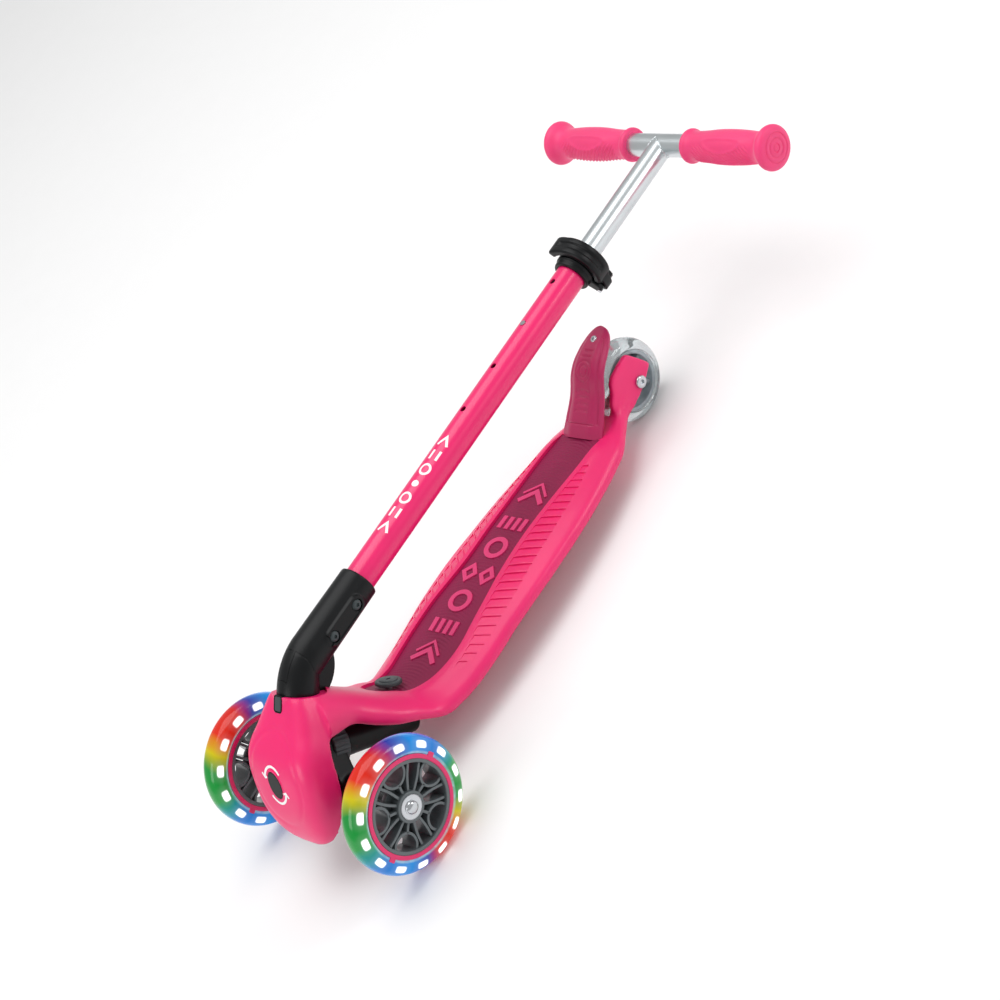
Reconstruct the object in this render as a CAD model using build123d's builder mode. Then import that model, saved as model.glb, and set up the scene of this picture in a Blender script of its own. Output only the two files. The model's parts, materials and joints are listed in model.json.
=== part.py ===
from build123d import *

import os
from math import cos, radians, sin, sqrt

# Folding three-wheel kick scooter, millimetres.
# +X is the scooter's left, +Y points to the back, +Z is up. The origin is the middle of the
# bounding box at ground level. Places are given as (x, y, z) with y counted from the front axle
# and z from the ground, and at() moves them into the model's frame.

# ---- driving dimensions ------------------------------------------------------------------------
FRONT_WHEEL_D = 121.0
REAR_WHEEL_D = 80.0
WHEEL_W = 24.0
TRACK = 201.6                 # between the front wheels' middle planes
WHEELBASE = 471.6
BAR_Y = 657.7                 # handlebar axis behind the front axle, T-bar folded
BAR_W = 292.0
TBAR_Z = 157.0                # height of the folded T-bar's axis
GRIP_FLANGE_D = 42.0
BAR_D = 22.0
LOWER_TUBE_D = 28.0
TUBE_WALL = 1.5
HOLE_PITCH = 50.0             # height settings of the T-bar
HOLE_D = 6.0
STEER_ANGLE = radians(38)     # steering axis above the horizontal, rising to the front
STEER_Y, STEER_Z = 26.0, 80.0
HINGE_Y = 51.0                # fold hinge, on the T-bar's axis
FOLD_OPEN = 79.0              # degrees from folded to riding
ELBOW_R = 18.5
DISC_R = 35.0                 # rim of the fold hinge's disc
DISC_T = 12.0
MAT_T = 2.5
STAND_Z = 53.9                # height of the mat's flat middle stretch
STAND_FROM, STAND_TO = 200.0, 280.0
SKIN = 5.0                    # wall of the deck moulding
AXLE_R = 3.95
BEARING_BORE_R = 4.0
BEARING_R = 11.0
BEARING_W = 7.0

FRONT_R = FRONT_WHEEL_D / 2
REAR_R = REAR_WHEEL_D / 2
FRONT = -(BAR_Y + GRIP_FLANGE_D / 2 - FRONT_R) / 2
WHEEL_X = TRACK / 2
TUBE_R = LOWER_TUBE_D / 2
GAP = 0.3                     # between moving bodies

PINK = Color(0.94, 0.22, 0.47)
BLACK = Color(0.05, 0.05, 0.06)
GREY = Color(0.32, 0.34, 0.34)
STEEL = Color(0.75, 0.76, 0.78)
BERRY = Color(0.60, 0.12, 0.33)
CLEAR = Color(0.75, 0.82, 0.85)


def at(x, y, z):
    """A point counted from the front axle and the ground, in the model's frame."""
    return (x, y + FRONT, z)


def side_plane(x):
    """Upright lengthwise plane at x: its own axes are +Y and +Z, its normal is +X."""
    return Plane(origin=at(x, 0, 0), x_dir=(0, 1, 0), z_dir=(1, 0, 0))


def cross_plane(y):
    """Upright crosswise plane: its own axes are +X and +Z, its normal points to the front."""
    return Plane(origin=at(0, y, 0), x_dir=(1, 0, 0), z_dir=(0, -1, 0))


def steer_plane(along):
    """Plane square to the steering axis: its own axes are +X and up-back, its normal up-front."""
    origin = at(0, STEER_Y - along * cos(STEER_ANGLE), STEER_Z + along * sin(STEER_ANGLE))
    return Plane(origin=origin, x_dir=(1, 0, 0), z_dir=(0, -cos(STEER_ANGLE), sin(STEER_ANGLE)))


def lift_plane(lift, along=0.0):
    """Plane square to the up-back direction, lift above the steering axis: axes -X and up-front."""
    y = STEER_Y - along * cos(STEER_ANGLE) + lift * sin(STEER_ANGLE)
    z = STEER_Z + along * sin(STEER_ANGLE) + lift * cos(STEER_ANGLE)
    return Plane(origin=at(0, y, z), x_dir=(-1, 0, 0), z_dir=(0, sin(STEER_ANGLE), cos(STEER_ANGLE)))


def axle_plane(x, y, z):
    """Plane square to a wheel's axis."""
    return Plane(origin=at(x, y, z), x_dir=(0, 1, 0), z_dir=(1, 0, 0))


def tube_plane(y):
    """Plane square to the folded T-bar's axis, its normal pointing back, its own axes -X, +Z."""
    return Plane(origin=at(0, y, TBAR_Z), x_dir=(-1, 0, 0), z_dir=(0, 1, 0))


def elbow_plane(down):
    """Plane square to the elbow's lower leg, `down` below the fold hinge, normal up-back."""
    step = down / sqrt(2)
    return Plane(origin=at(0, HINGE_Y - step, TBAR_Z - step), x_dir=(1, 0, 0), z_dir=(0, 1, 1))


def write(part, name, colour):
    """Label a finished piece and write it to its own STEP file."""
    part.label = name
    part.color = colour
    export_step(part, f"parts/{name}.step")


def mirrored_outline(half):
    """Closed polygon from the points of its right half, listed from the bottom to the top."""
    left = [(-x, v) for x, v in reversed(half) if x > 0]
    return [*half, *left]


def prism_loft(sections):
    """Solid through closed polygons, each given as a plane and its points."""
    with BuildPart(mode=Mode.PRIVATE) as solid:
        for plane, points in sections:
            with BuildSketch(plane):
                with BuildLine():
                    Polyline(*points, close=True)
                make_face()
        loft(ruled=True)
    return solid.part


def disc_sector(radius, start, end, thickness):
    """Flat sector about the fold hinge's axis, between two angles counted from +Y towards +Z."""
    steps = 6
    turns = [radians(start + (end - start) * step / steps) for step in range(steps + 1)]
    far = [(2 * radius * cos(turn), 2 * radius * sin(turn)) for turn in turns]
    with BuildPart(mode=Mode.PRIVATE) as solid:
        with BuildSketch(Plane(origin=at(-thickness / 2, HINGE_Y, TBAR_Z), x_dir=(0, 1, 0),
                               z_dir=(1, 0, 0))):
            with BuildLine():
                Polyline((0, 0), *far, close=True)
            make_face()
            Circle(radius, mode=Mode.INTERSECT)
        extrude(amount=thickness)
    return solid.part


os.makedirs("parts", exist_ok=True)

# ---- deck moulding -----------------------------------------------------------------------------
# Board stations: distance back, mat half-width and height, edge half-width and height.
BOARD = [
    (112, 27.0, 56.5, 61.0, 39.0),
    (130, 31.0, 51.5, 63.0, 36.5),
    (160, 34.3, 51.5, 64.5, 37.0),
    (200, 31.0, 54.0, 65.2, 38.5),
    (280, 24.3, 54.0, 63.5, 37.0),
    (330, 25.2, 51.0, 59.5, 34.5),
    (370, 27.0, 48.0, 52.5, 33.5),
    (400, 25.0, 46.0, 46.0, 33.5),
]
RIM = 1.2                     # the rims beside the mat stand this much above it
EDGE_DEPTH = 8.0


def board_outer(station, inset=0.0, roof=0.0, floor=0.0):
    """Cross section of the board: flat top, sloping shoulders, short upright edge."""
    y, mat_w, mat_z, edge_w, edge_z = station
    shoulder = (0.55 * mat_w + 0.45 * edge_w, 0.62 * mat_z + 0.38 * edge_z + 2.0)
    half = [
        (edge_w - 3 - inset, edge_z - EDGE_DEPTH - floor),
        (edge_w - inset, edge_z),
        (shoulder[0] - inset * 0.7, shoulder[1] - roof * 0.8),
        (mat_w + 2 - inset * 0.3, mat_z + RIM - roof),
    ]
    return cross_plane(y), mirrored_outline(half)


# Neck stations along the steering axis: half sections as (x, lift), from the edge to the crown.
NECK = [
    (31, [(45.0, 11), (43.0, 24), (35.0, 37), (24.0, 53)]),
    (10, [(34.0, 22), (32.5, 32), (27.0, 42), (17.0, 53.5)]),
    (-20, [(37.5, 18), (33.0, 28), (26.0, 36), (14.0, 43)]),
    (-48, [(49.0, 15), (42.0, 24), (31.0, 31), (17.0, 35.5)]),
]
NECK_INNER = [
    (36, [(38.0, 6), (37.5, 19), (30.0, 26), (20.0, 30)]),
    (10, [(29.5, 17), (28.0, 24), (23.0, 29), (14.0, 32)]),
    (-20, [(33.0, 13), (28.5, 22), (22.0, 28), (12.0, 33)]),
    (-48, [(45.0, 10), (37.5, 18), (27.0, 24.5), (15.0, 28.5)]),
]
# Shield stations, by lift above the steering axis: half-width and depth in front of the rear edge.
SHIELD_REAR = 30.0
SHIELD = [
    (55, 23.0, 19.5),
    (40, 31.0, 22.5),
    (25, 39.0, 26.0),
    (10, 45.0, 29.5),
    (-10, 48.5, 33.5),
    (-30, 46.5, 32.5),
    (-48, 40.0, 25.0),
    (-62, 30.0, 17.0),
    (-73, 16.0, 8.0),
]


def shield_section(lift, half_width, depth, rear, wall=0.0):
    """Blunt U of the shield at one height, closed along its rear edge."""
    width, reach = half_width - wall, depth - wall
    half = [
        (width, rear),
        (width * 0.98, SHIELD_REAR + 0.45 * reach),
        (width * 0.80, SHIELD_REAR + 0.85 * reach),
        (width * 0.42, SHIELD_REAR + 0.98 * reach),
    ]
    return lift_plane(lift), mirrored_outline(half)


neck_outer = prism_loft(
    [(steer_plane(s), mirrored_outline(half)) for s, half in NECK] + [board_outer(BOARD[0])]
)
neck_inner = prism_loft(
    [(steer_plane(s), mirrored_outline(half)) for s, half in NECK_INNER]
    + [board_outer(BOARD[0], SKIN, SKIN + MAT_T, 6)]
)
board_solid = prism_loft([board_outer(station) for station in BOARD])
board_hollow = prism_loft([board_outer(s, SKIN, SKIN + MAT_T, 1) for s in BOARD[:-1]])
shield_outer = prism_loft([shield_section(w, a, d, SHIELD_REAR) for w, a, d in SHIELD])
shield_hollow = prism_loft(
    [shield_section(22, 39.0, 26.0, 20.0, SKIN)]
    + [shield_section(w, a, d, 20.0, SKIN) for w, a, d in SHIELD[3:-1]]
)

# Rear fork: outline of each arm from the side.
FORK = [(398, 27), (430, 26), (455, 30), (484, 33), (491, 42), (487, 58), (478, 68),
        (467, 70), (450, 66), (438, 53), (420, 42), (398, 42)]
FORK_IN = WHEEL_W / 2 + 2.0
FORK_OUT = 21.0
TAIL = [
    (398, [(46.5, 26), (46.5, 34), (25, 42.5)]),
    (420, [(33.5, 26), (33.5, 35), (24, 41)]),
    (440, [(22.5, 28), (22.5, 38), (21, 44)]),
]
tail_solid = prism_loft([(cross_plane(y), mirrored_outline(half)) for y, half in TAIL])

MAT = [(92, 14.0, 70.5), (100, 22.0, 62.5), *[(y, w, z) for y, w, z, _, _ in BOARD[:-1]],
       (392, 26.0, 46.6)]


def mat_section(y, half_width, top, spread, up):
    """Rectangular slice of the mat or of the pocket that it lies in."""
    half = [(half_width + spread, top - MAT_T), (half_width + spread, top + up)]
    return cross_plane(y), mirrored_outline(half)


mat_pocket = prism_loft([mat_section(y, w, z, 0.1, 12.0) for y, w, z in MAT])

# Front lock button and the fold release, both in pockets of the shield.
LOCK_BUTTON = Plane(origin=at(0, -36.4, 106.2), x_dir=(1, 0, 0),
                    z_dir=(0, -cos(radians(24)), sin(radians(24))))
LOCK_TRAVEL = 3.0
RELEASE = Plane(origin=at(0, 17.0, 152.0), x_dir=(1, 0, 0), z_dir=(0, -0.67, 0.74))
RELEASE_TRAVEL = 2.5
SEAM = 21.2                   # along the elbow's lower leg, from the hinge to the shield's mouth
SPIGOT_R = 15.0
SPIGOT_END = 40.0
KNOB = -65.5                  # deck bolt's place along the steering axis
RIB_YS = (160, 200, 240, 280, 320)

with BuildPart() as deck_body:
    add(neck_outer)
    add(shield_outer)
    add(board_solid)
    add(tail_solid)
    with BuildSketch(elbow_plane(SEAM)):
        Circle(21.8)
    extrude(amount=-22)
    for x in (FORK_IN, -FORK_OUT):
        with BuildSketch(side_plane(x)):
            with BuildLine():
                Polyline(*FORK, close=True)
            make_face()
        extrude(amount=FORK_OUT - FORK_IN)
    add(neck_inner, mode=Mode.SUBTRACT)
    add(board_hollow, mode=Mode.SUBTRACT)
    add(shield_hollow, mode=Mode.SUBTRACT)
    for y in RIB_YS:
        with BuildSketch(cross_plane(y)):
            with Locations((0, 38.0)):
                Rectangle(80, 15)
        extrude(amount=3)
    add(mat_pocket, mode=Mode.SUBTRACT)
    # boss that the deck bolt clamps
    with BuildSketch(lift_plane(24.0, KNOB)):
        Circle(12)
    extrude(amount=5.6)
    # wheel slot
    with BuildSketch(side_plane(-FORK_IN)):
        with Locations((WHEELBASE, REAR_R)):
            Circle(REAR_R + 4)
    extrude(amount=2 * FORK_IN, mode=Mode.SUBTRACT)
    # room for the pivot arm and for the deck bolt
    with BuildSketch(steer_plane(-96)):
        Circle(14.9)
    extrude(amount=60, mode=Mode.SUBTRACT)
    with BuildSketch(lift_plane(10.0, KNOB)):
        Circle(4.1)
    extrude(amount=40, mode=Mode.SUBTRACT)
    # mouth for the hinge base, and the slot for the hinge disc
    with BuildSketch(elbow_plane(SEAM)):
        Circle(SPIGOT_R + 0.05)
    extrude(amount=-(SPIGOT_END - SEAM), mode=Mode.SUBTRACT)
    with BuildSketch(elbow_plane(0)):
        Circle(ELBOW_R + 0.3)
    extrude(amount=-SEAM, mode=Mode.SUBTRACT)
    add(disc_sector(DISC_R + 0.8, -118, 10, DISC_T + 0.8), mode=Mode.SUBTRACT)
    with BuildSketch(elbow_plane(SPIGOT_END - 1)):
        Circle(3.4)
    extrude(amount=-9, mode=Mode.SUBTRACT)
    # pockets of the buttons, with a guide for the steering lock's plunger
    with BuildSketch(LOCK_BUTTON.offset(-4)):
        Ellipse(12.3, 16.6)
    extrude(amount=-16)
    with BuildSketch(LOCK_BUTTON.offset(12)):
        Ellipse(9.3, 13.6)
    extrude(amount=-29, mode=Mode.SUBTRACT)
    with BuildSketch(LOCK_BUTTON):
        Circle(3.1)
    extrude(amount=-24, mode=Mode.SUBTRACT)
    with BuildSketch(RELEASE.offset(10)):
        RectangleRounded(9.6, 13.6, 2)
    extrude(amount=-18, mode=Mode.SUBTRACT)
    # axle and brake pin holes
    for y, z, radius in ((WHEELBASE, REAR_R, 4.0), (406, 38, 2.05)):
        with BuildSketch(side_plane(-30)):
            with Locations((y, z)):
                Circle(radius)
        extrude(amount=60, mode=Mode.SUBTRACT)
    # room for the brake's foot
    with BuildSketch(side_plane(-10.5)):
        with Locations((407, 42)):
            Rectangle(22, 22)
    extrude(amount=21, mode=Mode.SUBTRACT)
write(deck_body.part, "deck_body", PINK)

with BuildPart() as deck_mat:
    add(prism_loft([mat_section(y, w, z, 0.0, 0.0) for y, w, z in MAT]))
    # flat stretch to stand on
    with BuildSketch(Plane.XY.offset(STAND_Z)):
        with Locations((0, (STAND_FROM + STAND_TO) / 2 + FRONT)):
            Rectangle(80, STAND_TO - STAND_FROM)
    extrude(amount=5, mode=Mode.SUBTRACT)
    with BuildSketch(lift_plane(10.0, KNOB)):
        Circle(4.1)
    extrude(amount=40, mode=Mode.SUBTRACT)
write(deck_mat.part, "deck_mat", BERRY)

with BuildPart() as deck_bolt_cap:
    with BuildSketch(lift_plane(35.6, KNOB)):
        Circle(12.2)
    extrude(amount=4.6)
    fillet(deck_bolt_cap.edges().filter_by(GeomType.CIRCLE).sort_by(Axis.Z)[-1], 1.4)
    with BuildSketch(lift_plane(35.6, KNOB)):
        Circle(4.1)
        RectangleRounded(2.4, 12, 1.1)
    extrude(amount=6, mode=Mode.SUBTRACT)
write(deck_bolt_cap.part, "deck_bolt_cap", GREY)

with BuildPart() as deck_bolt:
    with BuildSketch(lift_plane(37.0, KNOB)):
        Circle(4.0)
    extrude(amount=-24)
    with BuildSketch(lift_plane(39.0, KNOB)):
        RegularPolygon(2.0, 6)
    extrude(amount=-4, mode=Mode.SUBTRACT)
write(deck_bolt.part, "deck_bolt", STEEL)

# ---- steering pivot under the neck -------------------------------------------------------------
ARM_R = 14.4
ARM_FROM, ARM_TO = -86.0, -5.3
KINGPIN_R = 5.0
HUB_FROM, HUB_TO = 12.3, 26.0
HUB_R = 17.0
BUSHING_R = 19.0

with BuildPart() as pivot_arm:
    with BuildSketch(steer_plane(ARM_FROM)):
        Circle(ARM_R)
    extrude(amount=ARM_TO - ARM_FROM)
    # boss that the deck bolt screws into
    with BuildSketch(lift_plane(8, KNOB)):
        Circle(10.5)
    extrude(amount=15.9)
    # web up to the neck
    with BuildSketch(side_plane(-4)):
        with BuildLine():
            Polyline(
                (STEER_Y + 20, STEER_Z - 10),
                (STEER_Y + 52, STEER_Z - 35),
                (STEER_Y + 60, STEER_Z - 22),
                (STEER_Y + 30, STEER_Z + 3),
                close=True,
            )
        make_face()
    extrude(amount=8)
    with BuildSketch(steer_plane(ARM_FROM - 1)):
        Circle(KINGPIN_R + 0.05)
    extrude(amount=100, mode=Mode.SUBTRACT)
    with BuildSketch(lift_plane(13, KNOB)):
        Circle(4.05)
    extrude(amount=14, mode=Mode.SUBTRACT)
write(pivot_arm.part, "pivot_arm", BLACK)

with BuildPart() as kingpin:
    with BuildSketch(steer_plane(ARM_FROM - 5)):
        RegularPolygon(8, 6)
    extrude(amount=5)
    with BuildSketch(steer_plane(ARM_FROM)):
        Circle(KINGPIN_R)
    extrude(amount=38.0 - ARM_FROM)
write(kingpin.part, "kingpin", STEEL)

with BuildPart() as kingpin_nut:
    with BuildSketch(steer_plane(HUB_TO + GAP + 1.6)):
        RegularPolygon(8.5, 6)
    extrude(amount=7)
    with BuildSketch(steer_plane(HUB_TO + GAP)):
        Circle(10)
    extrude(amount=1.6)
    with BuildSketch(steer_plane(HUB_TO)):
        Circle(KINGPIN_R + 0.02)
    extrude(amount=12, mode=Mode.SUBTRACT)
write(kingpin_nut.part, "kingpin_nut", STEEL)

with BuildPart() as steering_bushing:
    with BuildSketch(steer_plane(ARM_TO)):
        Circle(BUSHING_R)
        Circle(KINGPIN_R + 0.05, mode=Mode.SUBTRACT)
    extrude(amount=HUB_FROM - GAP - ARM_TO)
write(steering_bushing.part, "steering_bushing", GREY)

# ---- truck -------------------------------------------------------------------------------------
BEAM_R = 11.5
BEAM_END = WHEEL_X - WHEEL_W / 2 - GAP

with BuildPart() as truck:
    with BuildSketch(steer_plane(HUB_FROM)):
        Circle(HUB_R)
    extrude(amount=HUB_TO - HUB_FROM)
    with BuildSketch(steer_plane(0)):
        with BuildLine():
            Polyline(*mirrored_outline([(30, -42), (34, -30), (17, 0)]), close=True)
        make_face()
    extrude(amount=20)
    with BuildSketch(steer_plane(-1)):
        Circle(BUSHING_R + 0.6)
    extrude(amount=HUB_FROM + 1, mode=Mode.SUBTRACT)
    with BuildSketch(axle_plane(-(BEAM_END - 12), 0, FRONT_R)):
        Circle(BEAM_R)
    extrude(amount=2 * (BEAM_END - 12))
    for side in (1, -1):
        with BuildSketch(axle_plane(side * (BEAM_END - 12), 0, FRONT_R)):
            Circle(BEAM_R)
        with BuildSketch(axle_plane(side * BEAM_END, 0, FRONT_R)):
            Circle(6.5)
        loft()
        with BuildSketch(axle_plane(side * (BEAM_END + 1), 0, FRONT_R)):
            Circle(AXLE_R)
        extrude(amount=-side * 36, mode=Mode.SUBTRACT)
    with BuildSketch(steer_plane(HUB_FROM - 1)):
        Circle(7)
    extrude(amount=20, mode=Mode.SUBTRACT)
write(truck.part, "truck", BLACK)

with BuildPart() as truck_bush:
    with BuildSketch(steer_plane(HUB_FROM)):
        Circle(7)
        Circle(KINGPIN_R + 0.06, mode=Mode.SUBTRACT)
    extrude(amount=HUB_TO - HUB_FROM)
write(truck_bush.part, "truck_bush", STEEL)


# ---- wheels ------------------------------------------------------------------------------------
def ring(plane, outer, inner, width):
    """Plain ring centred on a wheel's middle plane."""
    with BuildPart(mode=Mode.PRIVATE) as solid:
        with BuildSketch(plane.offset(-width / 2)):
            Circle(outer)
            Circle(inner, mode=Mode.SUBTRACT)
        extrude(amount=width)
    return solid.part


def wheel(prefix, plane, radius, tyre_r, rim_r, hub_r, spokes, lit):
    """Tyre, core, bearings and spacer of one wheel, each written to its own file."""
    with BuildPart() as tyre:
        add(ring(plane, radius, tyre_r, WHEEL_W))
        crown = tyre.edges().filter_by(GeomType.CIRCLE).sort_by(lambda edge: edge.radius)[-2:]
        fillet(crown, WHEEL_W * 0.36)
        if lit:
            add(ring(plane, tyre_r + 2.6, tyre_r, 12.1), mode=Mode.SUBTRACT)
    write(tyre.part, f"{prefix}_tyre", CLEAR)

    with BuildPart() as core:
        add(ring(plane, tyre_r, rim_r, WHEEL_W - 2))
        add(ring(plane, hub_r, BEARING_R, WHEEL_W))
        with BuildSketch(plane.offset(-WHEEL_W / 2 + 4)):
            with PolarLocations(0, spokes):
                with Locations(((rim_r + hub_r) / 2, 0)):
                    Rectangle(rim_r - hub_r + 3, 4.2)
        extrude(amount=WHEEL_W - 8)
        add(ring(plane, hub_r, 6.6, WHEEL_W - 2 * BEARING_W))
        if lit:
            for face in (1, -1):
                outward = plane.offset(face * (WHEEL_W / 2 - 1))
                with BuildSketch(outward):
                    Circle(tyre_r + 0.5)
                    Circle(tyre_r - 3.6, mode=Mode.SUBTRACT)
                extrude(amount=-face * 2.2, mode=Mode.SUBTRACT)
    write(core.part, f"{prefix}_core", GREY)

    if lit:
        write(ring(plane, tyre_r + 2.5, tyre_r + 0.02, 12), f"{prefix}_light_band", CLEAR)
        with BuildPart() as trim:
            for face in (1, -1):
                with BuildSketch(plane.offset(face * (WHEEL_W / 2 - 3.1))):
                    Circle(tyre_r - 0.1)
                    Circle(tyre_r - 3.5, mode=Mode.SUBTRACT)
                extrude(amount=face * 2.6)
        write(trim.part, f"{prefix}_trim_rings", PINK)

    with BuildPart() as bearings:
        for face in (1, -1):
            seat = plane.offset(face * (WHEEL_W / 2 - BEARING_W / 2))
            add(ring(seat, BEARING_R - 0.01, BEARING_BORE_R, BEARING_W - 0.02))
    write(bearings.part, f"{prefix}_bearings", STEEL)
    write(ring(plane, 6.0, BEARING_BORE_R + 0.02, WHEEL_W - 2 * BEARING_W - 0.02),
          f"{prefix}_spacer", STEEL)


def dome_bolt(plane, radius, length, head_r, head_h):
    """Bolt whose domed head sits on the plane and whose shank runs against its normal."""
    with BuildPart(mode=Mode.PRIVATE) as bolt:
        with BuildSketch(plane):
            Circle(head_r)
        extrude(amount=head_h)
        fillet(bolt.edges().filter_by(GeomType.CIRCLE).group_by(lambda e: e.length)[-1]
               .sort_by(lambda e: (e.center() - plane.origin).length)[-1], head_h * 0.6)
        with BuildSketch(plane.offset(head_h)):
            RegularPolygon(head_r * 0.42, 6)
        extrude(amount=-head_h * 0.6, mode=Mode.SUBTRACT)
        with BuildSketch(plane):
            Circle(radius)
        extrude(amount=-length)
    return bolt.part


CORE_HUB_R = 14.0
for prefix, side in (("left", 1), ("right", -1)):
    middle = axle_plane(side * WHEEL_X, 0, FRONT_R)
    wheel(prefix, middle, FRONT_R, 45.0, 37.6, CORE_HUB_R, 10, True)
    outer = Plane(origin=at(side * (WHEEL_X + WHEEL_W / 2 + GAP), 0, FRONT_R),
                  x_dir=(0, 1, 0), z_dir=(side, 0, 0))
    write(dome_bolt(outer, AXLE_R, WHEEL_W + 30, 7.0, 3.5), f"{prefix}_axle_bolt", STEEL)

wheel("rear", axle_plane(0, WHEELBASE, REAR_R), REAR_R, 29.0, 25.0, 13.5, 5, False)
FORK_FACE = Plane(origin=at(FORK_OUT, WHEELBASE, REAR_R), x_dir=(0, 1, 0), z_dir=(1, 0, 0))
write(dome_bolt(FORK_FACE, AXLE_R, 2 * FORK_OUT + 2, 6.2, 3.2), "rear_axle", STEEL)
with BuildPart() as rear_axle_nut:
    with BuildSketch(side_plane(-FORK_OUT)):
        with Locations((WHEELBASE, REAR_R)):
            RegularPolygon(6.5, 6)
            Circle(AXLE_R + 0.02, mode=Mode.SUBTRACT)
    extrude(amount=-5)
write(rear_axle_nut.part, "rear_axle_nut", STEEL)
with BuildPart() as rear_washers:
    for side in (1, -1):
        with BuildSketch(side_plane(side * (WHEEL_W / 2 + GAP))):
            with Locations((WHEELBASE, REAR_R)):
                Circle(6.5)
                Circle(AXLE_R + 0.02, mode=Mode.SUBTRACT)
        extrude(amount=side * (FORK_IN - WHEEL_W / 2 - GAP))
write(rear_washers.part, "rear_washers", STEEL)

# ---- rear brake --------------------------------------------------------------------------------
BRAKE_Y, BRAKE_Z = 406.0, 38.0
BRAKE_PIN_R = 2.0
# Middle line of the lever from the side, with its half-width there.
BRAKE = [(403, 49.5, 23.5), (414, 54.5, 22.5), (430, 64.5, 20.5), (444, 79.0, 20.0),
         (456, 88.0, 19.5), (468, 93.5, 17.5), (480, 97.0, 13.0), (487, 98.0, 6.0)]
BRAKE_T = 4.0
BRAKE_TIP = Plane(origin=at(0, 473.5, 95.5), x_dir=(1, 0, 0), z_dir=(0, -0.28, 0.96))


def brake_section(index):
    """Slice of the brake lever square to its middle line."""
    y, z, half_width = BRAKE[index]
    before, after = BRAKE[max(index - 1, 0)], BRAKE[min(index + 1, len(BRAKE) - 1)]
    run, rise = after[0] - before[0], after[1] - before[1]
    plane = Plane(origin=at(0, y, z), x_dir=(1, 0, 0), z_dir=(0, -run, -rise))
    half = [(half_width - 1.5, -BRAKE_T), (half_width, -BRAKE_T * 0.4), (half_width - 2.5, 0)]
    return plane, mirrored_outline(half)


with BuildPart() as brake_lever:
    add(prism_loft([brake_section(index) for index in range(len(BRAKE))]))
    with BuildSketch(side_plane(-10)):
        with BuildLine():
            Polyline((402, 34), (410, 34), (413, 51), (403, 47), close=True)
        make_face()
    extrude(amount=20)
    with BuildSketch(side_plane(-11)):
        with Locations((BRAKE_Y, BRAKE_Z)):
            Circle(BRAKE_PIN_R + 0.06)
    extrude(amount=22, mode=Mode.SUBTRACT)
    with BuildSketch(side_plane(-3.3)):
        with Locations((BRAKE_Y, BRAKE_Z)):
            Circle(4.0)
    extrude(amount=6.6, mode=Mode.SUBTRACT)
    with BuildSketch(BRAKE_TIP):
        Circle(2.0)
    extrude(amount=-12, mode=Mode.SUBTRACT)
    with BuildSketch(BRAKE_TIP):
        Circle(3.6)
    extrude(amount=6, mode=Mode.SUBTRACT)
write(brake_lever.part, "brake_lever", BERRY)

with BuildPart() as brake_pin:
    with BuildSketch(side_plane(-18)):
        with Locations((BRAKE_Y, BRAKE_Z)):
            Circle(BRAKE_PIN_R)
    extrude(amount=36)
write(brake_pin.part, "brake_pin", STEEL)

with BuildPart() as brake_rivet:
    add(dome_bolt(BRAKE_TIP, 1.95, BRAKE_T + 1.5, 3.4, 1.6))
write(brake_rivet.part, "brake_rivet", STEEL)

with BuildPart() as brake_spring:
    with BuildSketch(side_plane(-3)):
        with Locations((BRAKE_Y, BRAKE_Z)):
            Circle(3.6)
            Circle(BRAKE_PIN_R + 0.2, mode=Mode.SUBTRACT)
    extrude(amount=6)
write(brake_spring.part, "brake_spring", STEEL)

# ---- fold hinge --------------------------------------------------------------------------------
PIN_R = 4.0
CORNER = at(0, HINGE_Y, TBAR_Z)
OPEN_DIR = (0, cos(radians(FOLD_OPEN)), sin(radians(FOLD_OPEN)))
LOCK_BOLT_R = 2.5
SLEEVE_END = 146.7
TUBE_START = 78.0
SLEEVE_BOLTS = (88.6, 122.7)

with BuildPart() as hinge_base:
    with BuildSketch(elbow_plane(SEAM)):
        Circle(ELBOW_R)
    extrude(amount=SEAM)
    for way in ((0, 1, 0), OPEN_DIR):
        cut = Plane(origin=CORNER, x_dir=(1, 0, 0), z_dir=way).offset(2.9)
        with BuildSketch(cut):
            Rectangle(60, 60)
        extrude(amount=40, mode=Mode.SUBTRACT)
    with Locations(Location(CORNER)):
        Sphere(ELBOW_R)
    with BuildSketch(elbow_plane(SPIGOT_END)):
        Circle(SPIGOT_R)
    extrude(amount=SPIGOT_END - SEAM)
    add(disc_sector(ELBOW_R + 0.3, 0, 180, DISC_T + 0.6), mode=Mode.SUBTRACT)
    add(disc_sector(ELBOW_R + 0.3, 180, 360, DISC_T + 0.6), mode=Mode.SUBTRACT)
    add(disc_sector(DISC_R + 0.8, -114, 10, DISC_T + 0.6), mode=Mode.SUBTRACT)
    with BuildSketch(Plane(origin=CORNER, x_dir=(0, 1, 0), z_dir=(1, 0, 0)).offset(-14)):
        Circle(PIN_R + 0.02)
    extrude(amount=28, mode=Mode.SUBTRACT)
    with BuildSketch(elbow_plane(SPIGOT_END + 1)):
        Circle(LOCK_BOLT_R + 0.1)
    extrude(amount=30, mode=Mode.SUBTRACT)
    # notch behind the release button
    with BuildSketch(RELEASE.offset(2)):
        RectangleRounded(9.6, 13.6, 2)
    extrude(amount=-10.2, mode=Mode.SUBTRACT)
write(hinge_base.part, "hinge_base", BLACK)

with BuildPart() as hinge_pin:
    with BuildSketch(Plane(origin=CORNER, x_dir=(0, 1, 0), z_dir=(1, 0, 0)).offset(-13.8)):
        Circle(PIN_R)
    extrude(amount=27.6)
write(hinge_pin.part, "hinge_pin", STEEL)

with BuildPart() as lock_bolt:
    with BuildSketch(elbow_plane(41)):
        Circle(LOCK_BOLT_R)
    extrude(amount=41 - ELBOW_R - 0.4)
write(lock_bolt.part, "lock_bolt", STEEL)

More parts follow.
